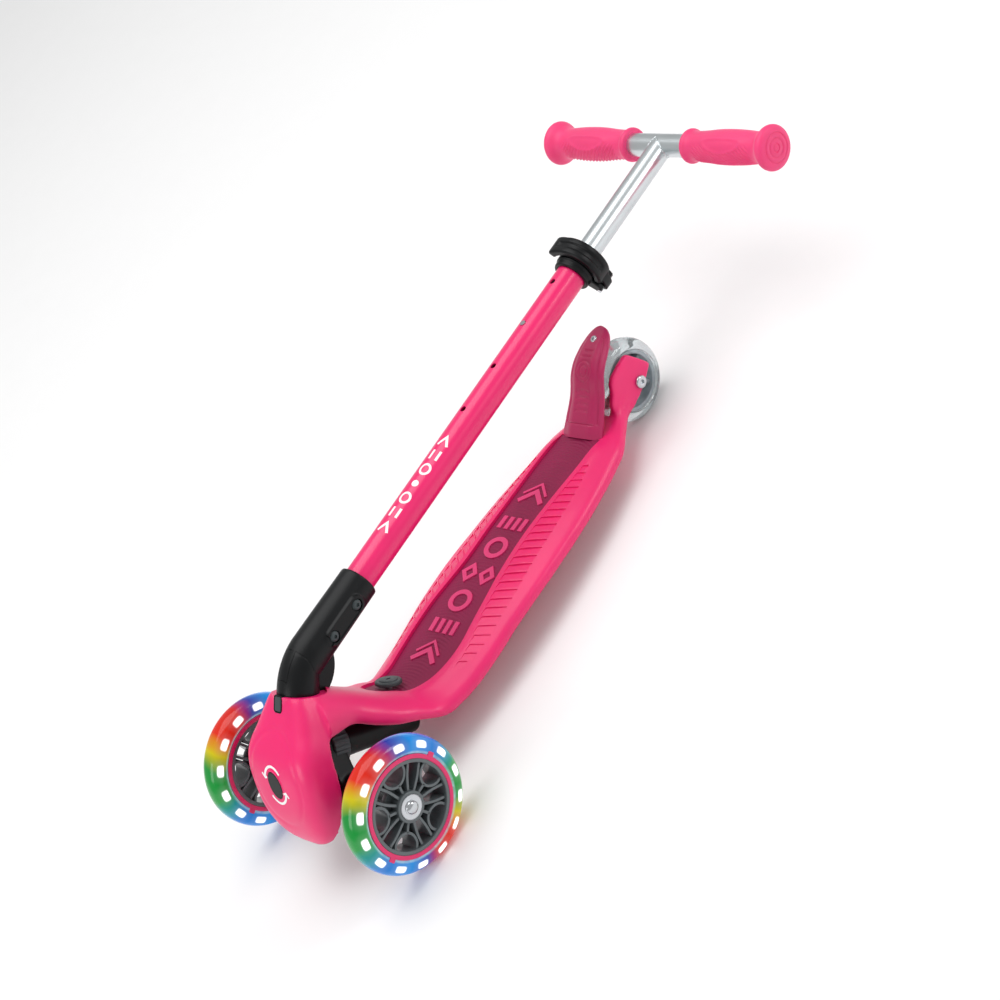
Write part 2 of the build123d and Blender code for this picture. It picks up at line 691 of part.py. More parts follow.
with BuildPart() as lock_spring:
    with BuildSketch(elbow_plane(47.8)):
        Circle(3.1)
        Circle(1.9, mode=Mode.SUBTRACT)
    extrude(amount=6.7)
write(lock_spring.part, "lock_spring", STEEL)

with BuildPart() as release_button:
    with BuildSketch(RELEASE.offset(-5)):
        RectangleRounded(9.0, 13.0, 1.8)
    extrude(amount=6.5)
    fillet(release_button.faces().sort_by(lambda f: (f.center() - RELEASE.origin).dot(
        RELEASE.z_dir))[-1].edges(), 0.8)
write(release_button.part, "release_button", GREY)

with BuildPart() as release_spring:
    with BuildSketch(RELEASE.offset(-7.9)):
        Circle(3.0)
        Circle(2.0, mode=Mode.SUBTRACT)
    extrude(amount=2.8)
write(release_spring.part, "release_spring", STEEL)

with BuildPart() as steering_lock_button:
    with BuildSketch(LOCK_BUTTON.offset(-9)):
        Ellipse(9.0, 13.3)
    extrude(amount=9.6)
write(steering_lock_button.part, "steering_lock_button", BLACK)

with BuildPart() as steering_lock_plunger:
    with BuildSketch(LOCK_BUTTON.offset(-9)):
        Circle(3.0)
    extrude(amount=-13)
write(steering_lock_plunger.part, "steering_lock_plunger", STEEL)

with BuildPart() as steering_lock_spring:
    with BuildSketch(LOCK_BUTTON.offset(-9.1)):
        Circle(4.8)
        Circle(3.3, mode=Mode.SUBTRACT)
    extrude(amount=-7.8)
write(steering_lock_spring.part, "steering_lock_spring", STEEL)

# ---- steering column ---------------------------------------------------------------------------
PAD_X = 19.2

with BuildPart() as fold_sleeve:
    with BuildSketch(tube_plane(HINGE_Y)):
        Circle(ELBOW_R)
    with BuildSketch(tube_plane(SLEEVE_END)):
        Circle(17.5)
    loft()
    with BuildSketch(side_plane(-PAD_X)):
        with Locations((sum(SLEEVE_BOLTS) / 2, TBAR_Z)):
            SlotCenterToCenter(SLEEVE_BOLTS[1] - SLEEVE_BOLTS[0], 15)
    extrude(amount=2 * PAD_X)
    with Locations(Location(CORNER)):
        Sphere(ELBOW_R + GAP, mode=Mode.SUBTRACT)
    add(disc_sector(ELBOW_R - 0.1, 0, 180, DISC_T))
    add(disc_sector(ELBOW_R - 0.1, 180, 360, DISC_T))
    add(disc_sector(DISC_R, -106, -8, DISC_T))
    with BuildSketch(side_plane(-DISC_T / 2)):
        with Locations((HINGE_Y + 15, TBAR_Z)):
            Rectangle(24, 22)
    extrude(amount=DISC_T)
    with BuildSketch(tube_plane(TUBE_START)):
        Circle(TUBE_R + 0.05)
    extrude(amount=80, mode=Mode.SUBTRACT)
    with BuildSketch(Plane(origin=CORNER, x_dir=(0, 1, 0), z_dir=(1, 0, 0)).offset(-14)):
        Circle(PIN_R + 0.05)
    extrude(amount=28, mode=Mode.SUBTRACT)
    for y in SLEEVE_BOLTS:
        with BuildSketch(side_plane(-30)):
            with Locations((y, TBAR_Z)):
                Circle(2.55)
        extrude(amount=60, mode=Mode.SUBTRACT)
        for side in (1, -1):
            with BuildSketch(side_plane(side * (PAD_X - 1.6))):
                with Locations((y, TBAR_Z)):
                    Circle(5.2)
            extrude(amount=side * 6, mode=Mode.SUBTRACT)
write(fold_sleeve.part, "fold_sleeve", BLACK)

with BuildPart() as sleeve_bolts:
    for y in SLEEVE_BOLTS:
        head = Plane(origin=at(PAD_X - 1.6, y, TBAR_Z), x_dir=(0, 1, 0), z_dir=(1, 0, 0))
        add(dome_bolt(head, 2.5, 2 * (PAD_X - 1.6) + 0.5, 4.6, 2.4))
        with BuildSketch(side_plane(-(PAD_X - 1.6))):
            with Locations((y, TBAR_Z)):
                Circle(4.6)
        extrude(amount=-2.2)
write(sleeve_bolts.part, "sleeve_bolts", GREY)

LOWER_END = 505.0
HOLES = [427.5 + HOLE_PITCH * step for step in (-2, -1, 0, 1)]
SNAP_Y = 427.5

with BuildPart() as lower_tube:
    with BuildSketch(tube_plane(TUBE_START + 0.1)):
        Circle(TUBE_R)
        Circle(TUBE_R - TUBE_WALL, mode=Mode.SUBTRACT)
    extrude(amount=LOWER_END - TUBE_START - 0.1)
    for y in SLEEVE_BOLTS:
        with BuildSketch(side_plane(-30)):
            with Locations((y, TBAR_Z)):
                Circle(2.55)
        extrude(amount=60, mode=Mode.SUBTRACT)
    with BuildSketch(Plane.XY.offset(TBAR_Z)):
        with Locations(*[(0, y + FRONT) for y in HOLES]):
            Circle(HOLE_D / 2)
    extrude(amount=20, mode=Mode.SUBTRACT)
write(lower_tube.part, "lower_tube", PINK)

# ---- clamp collar and its quick-release lever --------------------------------------------------
COLLAR_FROM, COLLAR_TO = 495.0, 521.0
COLLAR_R = 19.0
LEVER_IN, LEVER_OUT = COLLAR_R + 0.6, 26.5
LEVER_FROM, LEVER_TO = 502.5, 519.5
KNUCKLE = (15.5, -24.5)       # lever's pivot beside the tube, x and height from its axis
KNUCKLE_R = 4.6
KNUCKLE_FROM, KNUCKLE_TO = 506.0, 516.0


def round_tube(x_from_axis, z_from_axis):
    """A point beside the T-bar in tube_plane's own axes, which run to -X and +Z."""
    return (-x_from_axis, z_from_axis)


def polar(radius, angle):
    """A point around the T-bar, the angle counted from +X towards +Z."""
    return round_tube(radius * cos(radians(angle)), radius * sin(radians(angle)))


with BuildPart() as clamp_collar:
    with BuildSketch(tube_plane(COLLAR_FROM)):
        Circle(18.0)
    extrude(amount=6)
    with BuildSketch(tube_plane(COLLAR_FROM + 5)):
        Circle(COLLAR_R)
    extrude(amount=COLLAR_TO - COLLAR_FROM - 5)
    for start, end in ((COLLAR_FROM + 5.3, KNUCKLE_FROM - GAP), (KNUCKLE_TO + GAP, COLLAR_TO)):
        with BuildSketch(tube_plane(start)):
            with BuildLine():
                Polyline(polar(16, -42), polar(31, -49), polar(31, -66), polar(16, -74), close=True)
            make_face()
            with Locations(round_tube(*KNUCKLE)):
                Circle(KNUCKLE_R)
        extrude(amount=end - start)
    with BuildSketch(tube_plane(COLLAR_FROM - 1)):
        Circle(TUBE_R + 0.05)
    extrude(amount=LOWER_END - COLLAR_FROM + 1.05, mode=Mode.SUBTRACT)
    with BuildSketch(tube_plane(LOWER_END)):
        Circle(BAR_D / 2 + 0.06)
    extrude(amount=30, mode=Mode.SUBTRACT)
    with BuildSketch(tube_plane(LOWER_END + 0.5)):
        with Locations(polar(18, -90)):
            Rectangle(1.6, 20)
    extrude(amount=30, mode=Mode.SUBTRACT)
    with BuildSketch(tube_plane(COLLAR_FROM)):
        with Locations(round_tube(*KNUCKLE)):
            Circle(2.02)
    extrude(amount=30, mode=Mode.SUBTRACT)
write(clamp_collar.part, "clamp_collar", BLACK)

with BuildPart() as clamp_lever:
    with BuildSketch(tube_plane(LEVER_FROM)):
        with BuildLine():
            angles = range(-38, 119, 12)
            inner = [polar(LEVER_IN + 0.4, angle) for angle in angles]
            outer = [polar(LEVER_OUT, angle) for angle in reversed(angles)]
            tip = [polar(26.0, 130), polar(29.0, 134), polar(30.0, 122)]
            Polyline(*inner, *tip, *outer, close=True)
        make_face()
    extrude(amount=LEVER_TO - LEVER_FROM)
    with BuildSketch(tube_plane(KNUCKLE_FROM)):
        with BuildLine():
            Polyline(polar(20.5, -34), polar(26, -30), polar(31.5, -50), polar(24.5, -58), close=True)
        make_face()
        with Locations(round_tube(*KNUCKLE)):
            Circle(KNUCKLE_R)
    extrude(amount=KNUCKLE_TO - KNUCKLE_FROM)
    with BuildSketch(tube_plane(COLLAR_FROM)):
        with Locations(round_tube(*KNUCKLE)):
            Circle(2.06)
    extrude(amount=30, mode=Mode.SUBTRACT)
write(clamp_lever.part, "clamp_lever", BLACK)

with BuildPart() as clamp_pin:
    with BuildSketch(tube_plane(COLLAR_FROM + 5.3)):
        with Locations(round_tube(*KNUCKLE)):
            Circle(2.0)
    extrude(amount=COLLAR_TO - COLLAR_FROM - 5.3)
write(clamp_pin.part, "clamp_pin", STEEL)

# ---- sliding handlebar -------------------------------------------------------------------------
UPPER_START = 405.0
BAR_WALL = 1.4
GRIP_FROM = 37.0
GRIP_BODY_R = 14.5
BAR_AXIS = Plane(origin=at(0, BAR_Y, TBAR_Z), x_dir=(0, 1, 0), z_dir=(1, 0, 0))

with BuildPart() as upper_tube:
    with BuildSketch(tube_plane(UPPER_START)):
        Circle(BAR_D / 2)
        Circle(BAR_D / 2 - BAR_WALL, mode=Mode.SUBTRACT)
    extrude(amount=BAR_Y - UPPER_START)
    with BuildSketch(BAR_AXIS.offset(-20)):
        Circle(BAR_D / 2 + 0.02)
    extrude(amount=40, mode=Mode.SUBTRACT)
    with BuildSketch(Plane.XY.offset(TBAR_Z)):
        with Locations((0, SNAP_Y + FRONT)):
            Circle(2.85)
    extrude(amount=20, mode=Mode.SUBTRACT)
write(upper_tube.part, "upper_tube", STEEL)

with BuildPart() as handlebar_tube:
    with BuildSketch(BAR_AXIS.offset(-(BAR_W / 2 - 4))):
        Circle(BAR_D / 2)
        Circle(BAR_D / 2 - BAR_WALL, mode=Mode.SUBTRACT)
    extrude(amount=BAR_W - 8)
write(handlebar_tube.part, "handlebar_tube", STEEL)

with BuildPart() as tube_guide:
    with BuildSketch(tube_plane(UPPER_START)):
        Circle(TUBE_R - TUBE_WALL - 0.06)
        Circle(BAR_D / 2 + 0.02, mode=Mode.SUBTRACT)
    extrude(amount=8)
write(tube_guide.part, "tube_guide", BLACK)

with BuildPart() as snap_button:
    with BuildSketch(Plane.XY.offset(TBAR_Z + 9.2)):
        with Locations((0, SNAP_Y + FRONT)):
            Circle(2.7)
    extrude(amount=5.4)
write(snap_button.part, "snap_button", STEEL)

with BuildPart() as snap_spring:
    with BuildSketch(side_plane(-2.5)):
        with BuildLine():
            Polyline((408, 148.2), (409, 148.0), (417.5, 157.0), (433, 165.2), (433, 166.1),
                     (416.5, 157.6), close=True)
        make_face()
    extrude(amount=5)
write(snap_spring.part, "snap_spring", STEEL)

for name, side in (("left_grip", 1), ("right_grip", -1)):
    # half outline from the inner flange to the domed end, as distance along the bar and radius
    profile = [(GRIP_FROM, 15.5), (GRIP_FROM + 3.5, 16.0), (GRIP_FROM + 7, 13.8), (62, 14.4),
               (88, 16.0), (112, 15.4), (126, 14.2), (134, 16.5), (138.5, GRIP_FLANGE_D / 2),
               (143, GRIP_FLANGE_D / 2), (BAR_W / 2, 16.0)]
    with BuildPart() as grip:
        with BuildSketch(Plane(origin=at(0, BAR_Y, TBAR_Z), x_dir=(side, 0, 0), z_dir=(0, 0, 1))):
            with BuildLine():
                Polyline((GRIP_FROM, 0), *profile, (BAR_W / 2, 0), close=True)
            make_face()
        revolve(axis=Axis(at(0, BAR_Y, TBAR_Z), (1, 0, 0)))
        with BuildSketch(BAR_AXIS.offset(side * (GRIP_FROM - 1))):
            Circle(BAR_D / 2 + 0.02)
        extrude(amount=side * (BAR_W / 2 - 4 - GRIP_FROM + 1.02), mode=Mode.SUBTRACT)
    write(grip.part, name, PINK)
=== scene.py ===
"""A folded three-wheel kick scooter: its visible pieces and finishes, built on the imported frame."""

import json
import logging
import math
from dataclasses import dataclass
from enum import Enum
from typing import Callable, Iterable, Sequence

import bmesh
import bpy
from mathutils import Matrix, Vector

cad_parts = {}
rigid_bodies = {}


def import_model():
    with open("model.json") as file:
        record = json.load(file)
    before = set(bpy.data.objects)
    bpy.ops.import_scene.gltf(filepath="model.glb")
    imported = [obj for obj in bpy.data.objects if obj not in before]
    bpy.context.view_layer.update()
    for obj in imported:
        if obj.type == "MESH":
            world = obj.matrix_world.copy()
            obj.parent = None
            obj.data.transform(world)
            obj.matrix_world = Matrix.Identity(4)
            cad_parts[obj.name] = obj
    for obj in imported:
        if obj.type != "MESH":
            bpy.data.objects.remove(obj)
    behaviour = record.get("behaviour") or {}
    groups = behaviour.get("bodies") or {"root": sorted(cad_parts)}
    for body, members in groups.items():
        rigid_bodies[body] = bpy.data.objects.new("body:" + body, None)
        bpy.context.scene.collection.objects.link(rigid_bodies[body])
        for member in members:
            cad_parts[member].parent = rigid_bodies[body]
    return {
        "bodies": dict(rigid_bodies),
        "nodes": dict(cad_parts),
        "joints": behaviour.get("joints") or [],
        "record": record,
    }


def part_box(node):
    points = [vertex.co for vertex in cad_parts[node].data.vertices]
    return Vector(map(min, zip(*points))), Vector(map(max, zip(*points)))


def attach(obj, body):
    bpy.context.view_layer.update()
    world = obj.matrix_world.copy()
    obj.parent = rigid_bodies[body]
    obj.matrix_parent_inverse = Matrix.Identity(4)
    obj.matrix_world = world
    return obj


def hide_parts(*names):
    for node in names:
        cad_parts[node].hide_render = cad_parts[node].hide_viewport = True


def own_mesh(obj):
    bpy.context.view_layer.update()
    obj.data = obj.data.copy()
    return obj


LOG = logging.getLogger("scooter")
MM = 0.001

# Lengths are millimetres, counted to the left, back from the front axle and up from the ground.
WHEEL_X = 100.8
FRONT_R = 60.5
REAR_R = 40.0
WHEELBASE = 471.6
STEER = math.radians(38)
STEER_Y, STEER_Z = 26.0, 80.0
HINGE = Vector((0.0, 51.0, 157.0))
SEAM = 21.2
TUBE_Z = 157.0
TUBE_R = 14.0
BAR_Y = 657.7
PAIR = (1, -1)
SIDE_NAME = {1: "left", -1: "right"}

Ring = list[Vector]


# ---- places and lines -------------------------------------------------------------------------
def frame_at(origin: Sequence[float], across: Sequence[float], out: Sequence[float]) -> Matrix:
    """Matrix of a working plane.

    Args:
        origin: Its middle, in millimetres.
        across: Its own x axis.
        out: Its own z axis, square to the plane.

    Returns:
        The matrix from the plane's own coordinates to the scooter's.
    """
    x, z = Vector(across).normalized(), Vector(out).normalized()
    y = z.cross(x).normalized()
    x = y.cross(z)
    turn = Matrix((x, y, z)).transposed().to_4x4()
    return Matrix.Translation(Vector(origin)) @ turn


def steer(x: float, along: float, lift: float) -> Vector:
    """Point counted along the steering axis, up-front, and square to it, up-back."""
    return Vector((
        x,
        STEER_Y - along * math.cos(STEER) + lift * math.sin(STEER),
        STEER_Z + along * math.sin(STEER) + lift * math.cos(STEER),
    ))


def steer_frame(along: float) -> Matrix:
    """Plane square to the steering axis."""
    return frame_at(steer(0, along, 0), (1, 0, 0), (0, -math.cos(STEER), math.sin(STEER)))


def lift_frame(lift: float, along: float = 0.0) -> Matrix:
    """Plane whose normal points up-back from the steering axis; its own y runs down-back."""
    return frame_at(steer(0, along, lift), (1, 0, 0), (0, math.sin(STEER), math.cos(STEER)))


def tube_frame(y: float) -> Matrix:
    """Plane square to the folded T-bar, normal to the back, own axes -x and +z."""
    return frame_at((0, y, TUBE_Z), (-1, 0, 0), (0, 1, 0))


def side_frame(x: float, y: float = 0.0, z: float = 0.0) -> Matrix:
    """Upright lengthwise plane with own axes +y and +z, its normal to the left."""
    return frame_at((x, y, z), (0, 1, 0), (1, 0, 0))


def elbow_frame(down: float) -> Matrix:
    """Plane square to the elbow's lower leg, below the fold hinge, its normal up-back."""
    step = down / math.sqrt(2)
    return frame_at(HINGE - Vector((0, step, step)), (1, 0, 0), (0, 1, 1))


def shield_frame(y: float, z: float, tilt: float) -> Matrix:
    """Plane on the shield's face, its normal to the front and tilted up by some degrees."""
    up = math.radians(tilt)
    return frame_at((0, y, z), (1, 0, 0), (0, -math.cos(up), math.sin(up)))


def shifted(plane: Matrix, along: float) -> Matrix:
    """The same plane shifted along its normal."""
    return plane @ Matrix.Translation((0, 0, along))


LOCK_AXIS = shield_frame(-36.4, 106.2, 24)
LOCK_FACE = shield_frame(-36.6, 106.3, 26)
RELEASE = frame_at((0, 17.0, 152.0), (1, 0, 0), (0, -0.67, 0.74))


def through(points: Sequence[Sequence[float]], steps: int, closed: bool = False) -> Ring:
    """Smooth line through points.

    Args:
        points: The points it passes, of two or three numbers each.
        steps: Runs between one point and the next.
        closed: Whether it comes back to its start.

    Returns:
        The line's points, ends included.
    """
    knots = [Vector(p) for p in points]
    count = len(knots)
    line: Ring = []
    for index in range(count if closed else count - 1):
        if closed:
            a, b, c, d = (knots[(index + k) % count] for k in (-1, 0, 1, 2))
        else:
            b, c = knots[index], knots[index + 1]
            a = knots[index - 1] if index else 2 * b - c
            d = knots[index + 2] if index + 2 < count else 2 * c - b
        for step in range(steps):
            t = step / steps
            line.append(0.5 * (2 * b + (c - a) * t + (2 * a - 5 * b + 4 * c - d) * t * t
                               + (3 * b - a - 3 * c + d) * t ** 3))
    if not closed:
        line.append(knots[-1].copy())
    return line


def value_at(rows: Sequence[Sequence[float]], at: float, column: int = 1) -> float:
    """Smoothly interpolated column of rows sorted by their first number."""
    if at <= rows[0][0]:
        return rows[0][column]
    for index in range(len(rows) - 1):
        low, high = rows[index], rows[index + 1]
        if at <= high[0]:
            before, after = rows[max(index - 1, 0)], rows[min(index + 2, len(rows) - 1)]
            width = high[0] - low[0]
            t = (at - low[0]) / width
            rise_low = (high[column] - before[column]) / (high[0] - before[0]) * width
            rise_high = (after[column] - low[column]) / (after[0] - low[0]) * width
            return ((2 * t ** 3 - 3 * t * t + 1) * low[column] + (t ** 3 - 2 * t * t + t) * rise_low
                    + (3 * t * t - 2 * t ** 3) * high[column] + (t ** 3 - t * t) * rise_high)
    return rows[-1][column]


def ease(low: float, high: float, value: float) -> float:
    """Smooth step from 0 below low to 1 above high."""
    t = min(1.0, max(0.0, (value - low) / (high - low)))
    return t * t * (3 - 2 * t)


def mirrored(half: Sequence[Sequence[float]]) -> list[tuple[float, float]]:
    """Closed outline from its right half, which is listed from the bottom to the top."""
    left = [(-x, v) for x, v in reversed(half) if x > 1e-6]
    return [(x, v) for x, v in half] + left


def circle(radius: float, count: int = 48, x: float = 0.0, y: float = 0.0,
           stretch: float = 1.0) -> list[tuple[float, float]]:
    """Round or oval outline; stretch lengthens it along its own y."""
    turns = [2 * math.pi * k / count for k in range(count)]
    return [(x + radius * math.cos(t), y + radius * stretch * math.sin(t)) for t in turns]


def rounded(width: float, height: float, radius: float, count: int = 6,
            x: float = 0.0, y: float = 0.0) -> list[tuple[float, float]]:
    """Rectangular outline with round corners."""
    outline = []
    for quarter, (cx, cy) in enumerate(((1, 1), (-1, 1), (-1, -1), (1, -1))):
        for k in range(count + 1):
            turn = math.pi / 2 * (quarter + k / count)
            outline.append((x + cx * (width / 2 - radius) + radius * math.cos(turn),
                            y + cy * (height / 2 - radius) + radius * math.sin(turn)))
    return outline


def hinge_fan(radius: float, start: float, end: float) -> list[tuple[float, float]]:
    """Sector about the fold hinge in the lengthwise plane, angles from the back upwards."""
    turns = [math.radians(start + (end - start) * k / 24) for k in range(25)]
    return [(HINGE.y, HINGE.z)] + [(HINGE.y + radius * math.cos(t),
                                    HINGE.z + radius * math.sin(t)) for t in turns]


def both_faces(half: Sequence[Sequence[float]]) -> list[tuple[float, float]]:
    """Closed profile of a wheel part from the half on one side of its middle plane."""
    return [*half, *[(-along, radius) for along, radius in reversed(half) if along]]


def both_sides(line: Ring) -> Ring:
    """Ring across the scooter from its left half, which ends at the middle."""
    return line + [Vector((-p.x, p.y, p.z)) for p in reversed(line) if p.x > 1e-4]


def stroke(line: Sequence[Sequence[float]], width: float) -> list[tuple[float, float]]:
    """Outline of a band of one width along a line in a plane."""
    points = [Vector(p) for p in line]
    left, right = [], []
    for index, point in enumerate(points):
        run = points[min(index + 1, len(points) - 1)] - points[max(index - 1, 0)]
        side = Vector((-run.y, run.x)).normalized() * width / 2
        left.append(tuple(point + side))
        right.append(tuple(point - side))
    return left + right[::-1]


# ---- shaping ----------------------------------------------------------------------------------
class Clay:
    """A shape in the making, in millimetres, worked with bmesh operators."""

    def __init__(self) -> None:
        """Starts empty."""
        self.bm = bmesh.new()

    def _loop(self, points: Iterable[Sequence[float]],
              closed: bool) -> tuple[list[bmesh.types.BMVert], list[bmesh.types.BMEdge]]:
        """Adds a line of vertices and its edges."""
        verts = [self.bm.verts.new(p) for p in points]
        ahead = verts[1:] + verts[:1] if closed else verts[1:]
        return verts, [self.bm.edges.new(pair) for pair in zip(verts, ahead)]

    def loft(self, rings: Sequence[Ring], capped: bool = True) -> "Clay":
        """Skins closed rings that have the same number of points.

        Args:
            rings: The sections in order.
            capped: Whether the first and last rings are filled.

        Returns:
            This shape.
        """
        verts, edges = self._loop(rings[0], True)
        if capped:
            bmesh.ops.contextual_create(self.bm, geom=edges)
        for ring in rings[1:]:
            made = bmesh.ops.extrude_edge_only(self.bm, edges=edges)["geom"]
            fresh = {v for v in made if isinstance(v, bmesh.types.BMVert)}
            verts = [next(e.other_vert(v) for e in v.link_edges if e.other_vert(v) in fresh)
                     for v in verts]
            edges = [e for e in made if isinstance(e, bmesh.types.BMEdge)
                     and e.verts[0] in fresh and e.verts[1] in fresh]
            for vert, point in zip(verts, ring):
                vert.co = point
        if capped:
            bmesh.ops.contextual_create(self.bm, geom=edges)
        return self

    def prism(self, outline: Sequence[Sequence[float]], plane: Matrix, depth: float) -> "Clay":
        """Extrudes a closed outline from a plane, along its normal."""
        floor = [plane @ Vector((u, v, 0)) for u, v in outline]
        roof = [plane @ Vector((u, v, depth)) for u, v in outline]
        return self.loft([floor, roof])

    def lathe(self, profile: Sequence[Sequence[float]], plane: Matrix, steps: int = 72,
              closed: bool = True) -> "Clay":
        """Spins a profile about a plane's normal.

        Args:
            profile: Places along the normal and radii.
            plane: The plane whose normal is the axis.
            steps: Divisions of the full turn.
            closed: Whether the profile is a closed outline, as for a hollow ring.

        Returns:
            This shape.
        """
        verts, edges = self._loop([plane @ Vector((r, 0, a)) for a, r in profile], closed)
        axis = plane.to_3x3() @ Vector((0, 0, 1))
        bmesh.ops.spin(self.bm, geom=verts + edges, cent=plane.translation, axis=axis,
                       angle=2 * math.pi, steps=steps, use_merge=True)
        return self

    def ball(self, centre: Vector, radius: float) -> "Clay":
        """Adds a sphere."""
        bmesh.ops.create_uvsphere(self.bm, u_segments=48, v_segments=32, radius=radius,
                                  matrix=Matrix.Translation(centre))
        return self

    def settle(self) -> "Clay":
        """Closes seams and poles and turns the faces outwards."""
        bmesh.ops.remove_doubles(self.bm, verts=self.bm.verts, dist=1e-3)
        bmesh.ops.dissolve_degenerate(self.bm, dist=1e-4, edges=self.bm.edges)
        bmesh.ops.recalc_face_normals(self.bm, faces=self.bm.faces)
        return self

    def nudge(self, move: Callable[[Vector], Vector]) -> "Clay":
        """Moves every vertex to where move says."""
        for vert in self.bm.verts:
            vert.co = move(vert.co)
        return self

    def solid(self, name: str) -> bpy.types.Object:
        """Makes it an object at the origin, in metres, in the frame's coordinates."""
        self.settle()
        place = Matrix.Scale(MM, 4) @ Matrix.Translation((0, Bench.front, 0))
        bmesh.ops.transform(self.bm, matrix=place, verts=self.bm.verts)
        mesh = bpy.data.meshes.new(name)
        self.bm.to_mesh(mesh)
        self.bm.free()
        made = bpy.data.objects.new(name, mesh)
        bpy.context.scene.collection.objects.link(made)
        return made


def ribbon(clay: Clay, line: Sequence[Sequence[float]], width: float,
           place: Callable[[float, float, float], Vector], closed: bool = False) -> None:
    """Lays a thin raised band along a line over a surface.

    Args:
        clay: The shape it is added to.
        line: Places as (across, along) numbers that place understands.
        width: Width of the band.
        place: Gives the point for a place, on the band's top for high 1 and its foot for -1.
        closed: Whether the band comes back to its start.
    """
    points = [Vector(p) for p in line]
    count = len(points)
    rings = []
    for index in range(count + 1 if closed else count):
        point = points[index % count]
        run_in = point - points[index % count - 1]
        run_out = points[(index + 1) % count] - point
        if not closed and index == 0:
            run_in = run_out
        if not closed and index == count - 1:
            run_out = run_in
        run = run_in.normalized() + run_out.normalized()
        side = Vector((-run.y, run.x)).normalized()
        sharpness = max(0.5, abs(side.dot(Vector((-run_out.y, run_out.x)).normalized())))
        side *= width / 2 / sharpness
        left, right = point + side, point - side
        rings.append([place(left.x, left.y, -1), place(left.x, left.y, 1),
                      place(right.x, right.y, 1), place(right.x, right.y, -1)])
    clay.loft(rings, capped=not closed)


def baked(piece: bpy.types.Object) -> bpy.types.Object:
    """Applies the modifiers of a piece to its mesh."""
    bpy.context.view_layer.update()
    graph = bpy.context.evaluated_depsgraph_get()
    mesh = bpy.data.meshes.new_from_object(piece.evaluated_get(graph))
    old = piece.data
    piece.modifiers.clear()
    piece.data = mesh
    bpy.data.meshes.remove(old)
    mesh.name = piece.name
    return piece


def melted(piece: bpy.types.Object, voxel: float, rounds: int) -> bpy.types.Object:
    """Fuses overlapping solids into one skin and softens where they meet.

    Args:
        piece: The overlapping solids.
        voxel: Grid of the new skin, millimetres.
        rounds: Rounds of smoothing.

    Returns:
        The same object with its new mesh.
    """
    grid = piece.modifiers.new("Fuse", "REMESH")
    grid.mode, grid.voxel_size, grid.adaptivity = "VOXEL", voxel * MM, 0
    soften = piece.modifiers.new("Soften", "SMOOTH")
    soften.factor, soften.iterations = 0.5, rounds
    return baked(piece)


def smoothed(piece: bpy.types.Object) -> None:
    """Rounds a cast piece by one level of subdivision."""
    rounding = piece.modifiers.new("Round", "SUBSURF")
    rounding.levels = rounding.render_levels = 1


def cut(piece: bpy.types.Object, *cutters: Clay | bpy.types.Object,
        add: bool = False) -> bpy.types.Object:
    """Cuts shapes out of a piece, or adds them to it; the cutters are used up."""
    for index, shape in enumerate(cutters):
        tool = shape.solid(f"{piece.name}_tool{index}") if isinstance(shape, Clay) else shape
        step = piece.modifiers.new("Cut", "BOOLEAN")
        step.operation = "UNION" if add else "DIFFERENCE"
        step.solver, step.object = "EXACT", tool
        baked(piece)
        mesh = tool.data
        bpy.data.objects.remove(tool)
        bpy.data.meshes.remove(mesh)
    return piece


# ---- finishes ---------------------------------------------------------------------------------
def linear(colour: str) -> tuple[float, float, float, float]:
    """sRGB hex colour as linear red, green, blue and full alpha."""
    parts = [int(colour[k:k + 2], 16) / 255 for k in (1, 3, 5)]
    flat = [c / 12.92 if c <= 0.04045 else ((c + 0.055) / 1.055) ** 2.4 for c in parts]
    return (*flat, 1.0)


def node(tree: bpy.types.NodeTree, kind: str, settings: dict | None = None,
         links: dict | None = None) -> bpy.types.Node:
    """Adds a shader node.

    Args:
        tree: The material's node tree.
        kind: The node's type name, without its ShaderNode prefix.
        settings: Values for inputs, by name or number, or else for the node's own settings.
        links: Outputs to link to inputs, by name or number.

    Returns:
        The new node.
    """
    made = tree.nodes.new("ShaderNode" + kind)
    for key, value in (settings or {}).items():
        if isinstance(key, int) or key in made.inputs:
            made.inputs[key].default_value = value
        else:
            setattr(made, key, value)
    for key, source in (links or {}).items():
        tree.links.new(source, made.inputs[key])
    return made


def ramp(tree: bpy.types.NodeTree, source: bpy.types.NodeSocket,
         stops: Sequence[tuple[float, tuple]]) -> bpy.types.NodeSocket:
    """Colour ramp with the given stops, fed by source; returns its colour."""
    made = node(tree, "ValToRGB", links={"Fac": source})
    bar = made.color_ramp.elements
    while len(bar) < len(stops):
        bar.new(0.5)
    for element, (place, colour) in zip(bar, stops):
        element.position, element.color = place, colour
    return made.outputs["Color"]


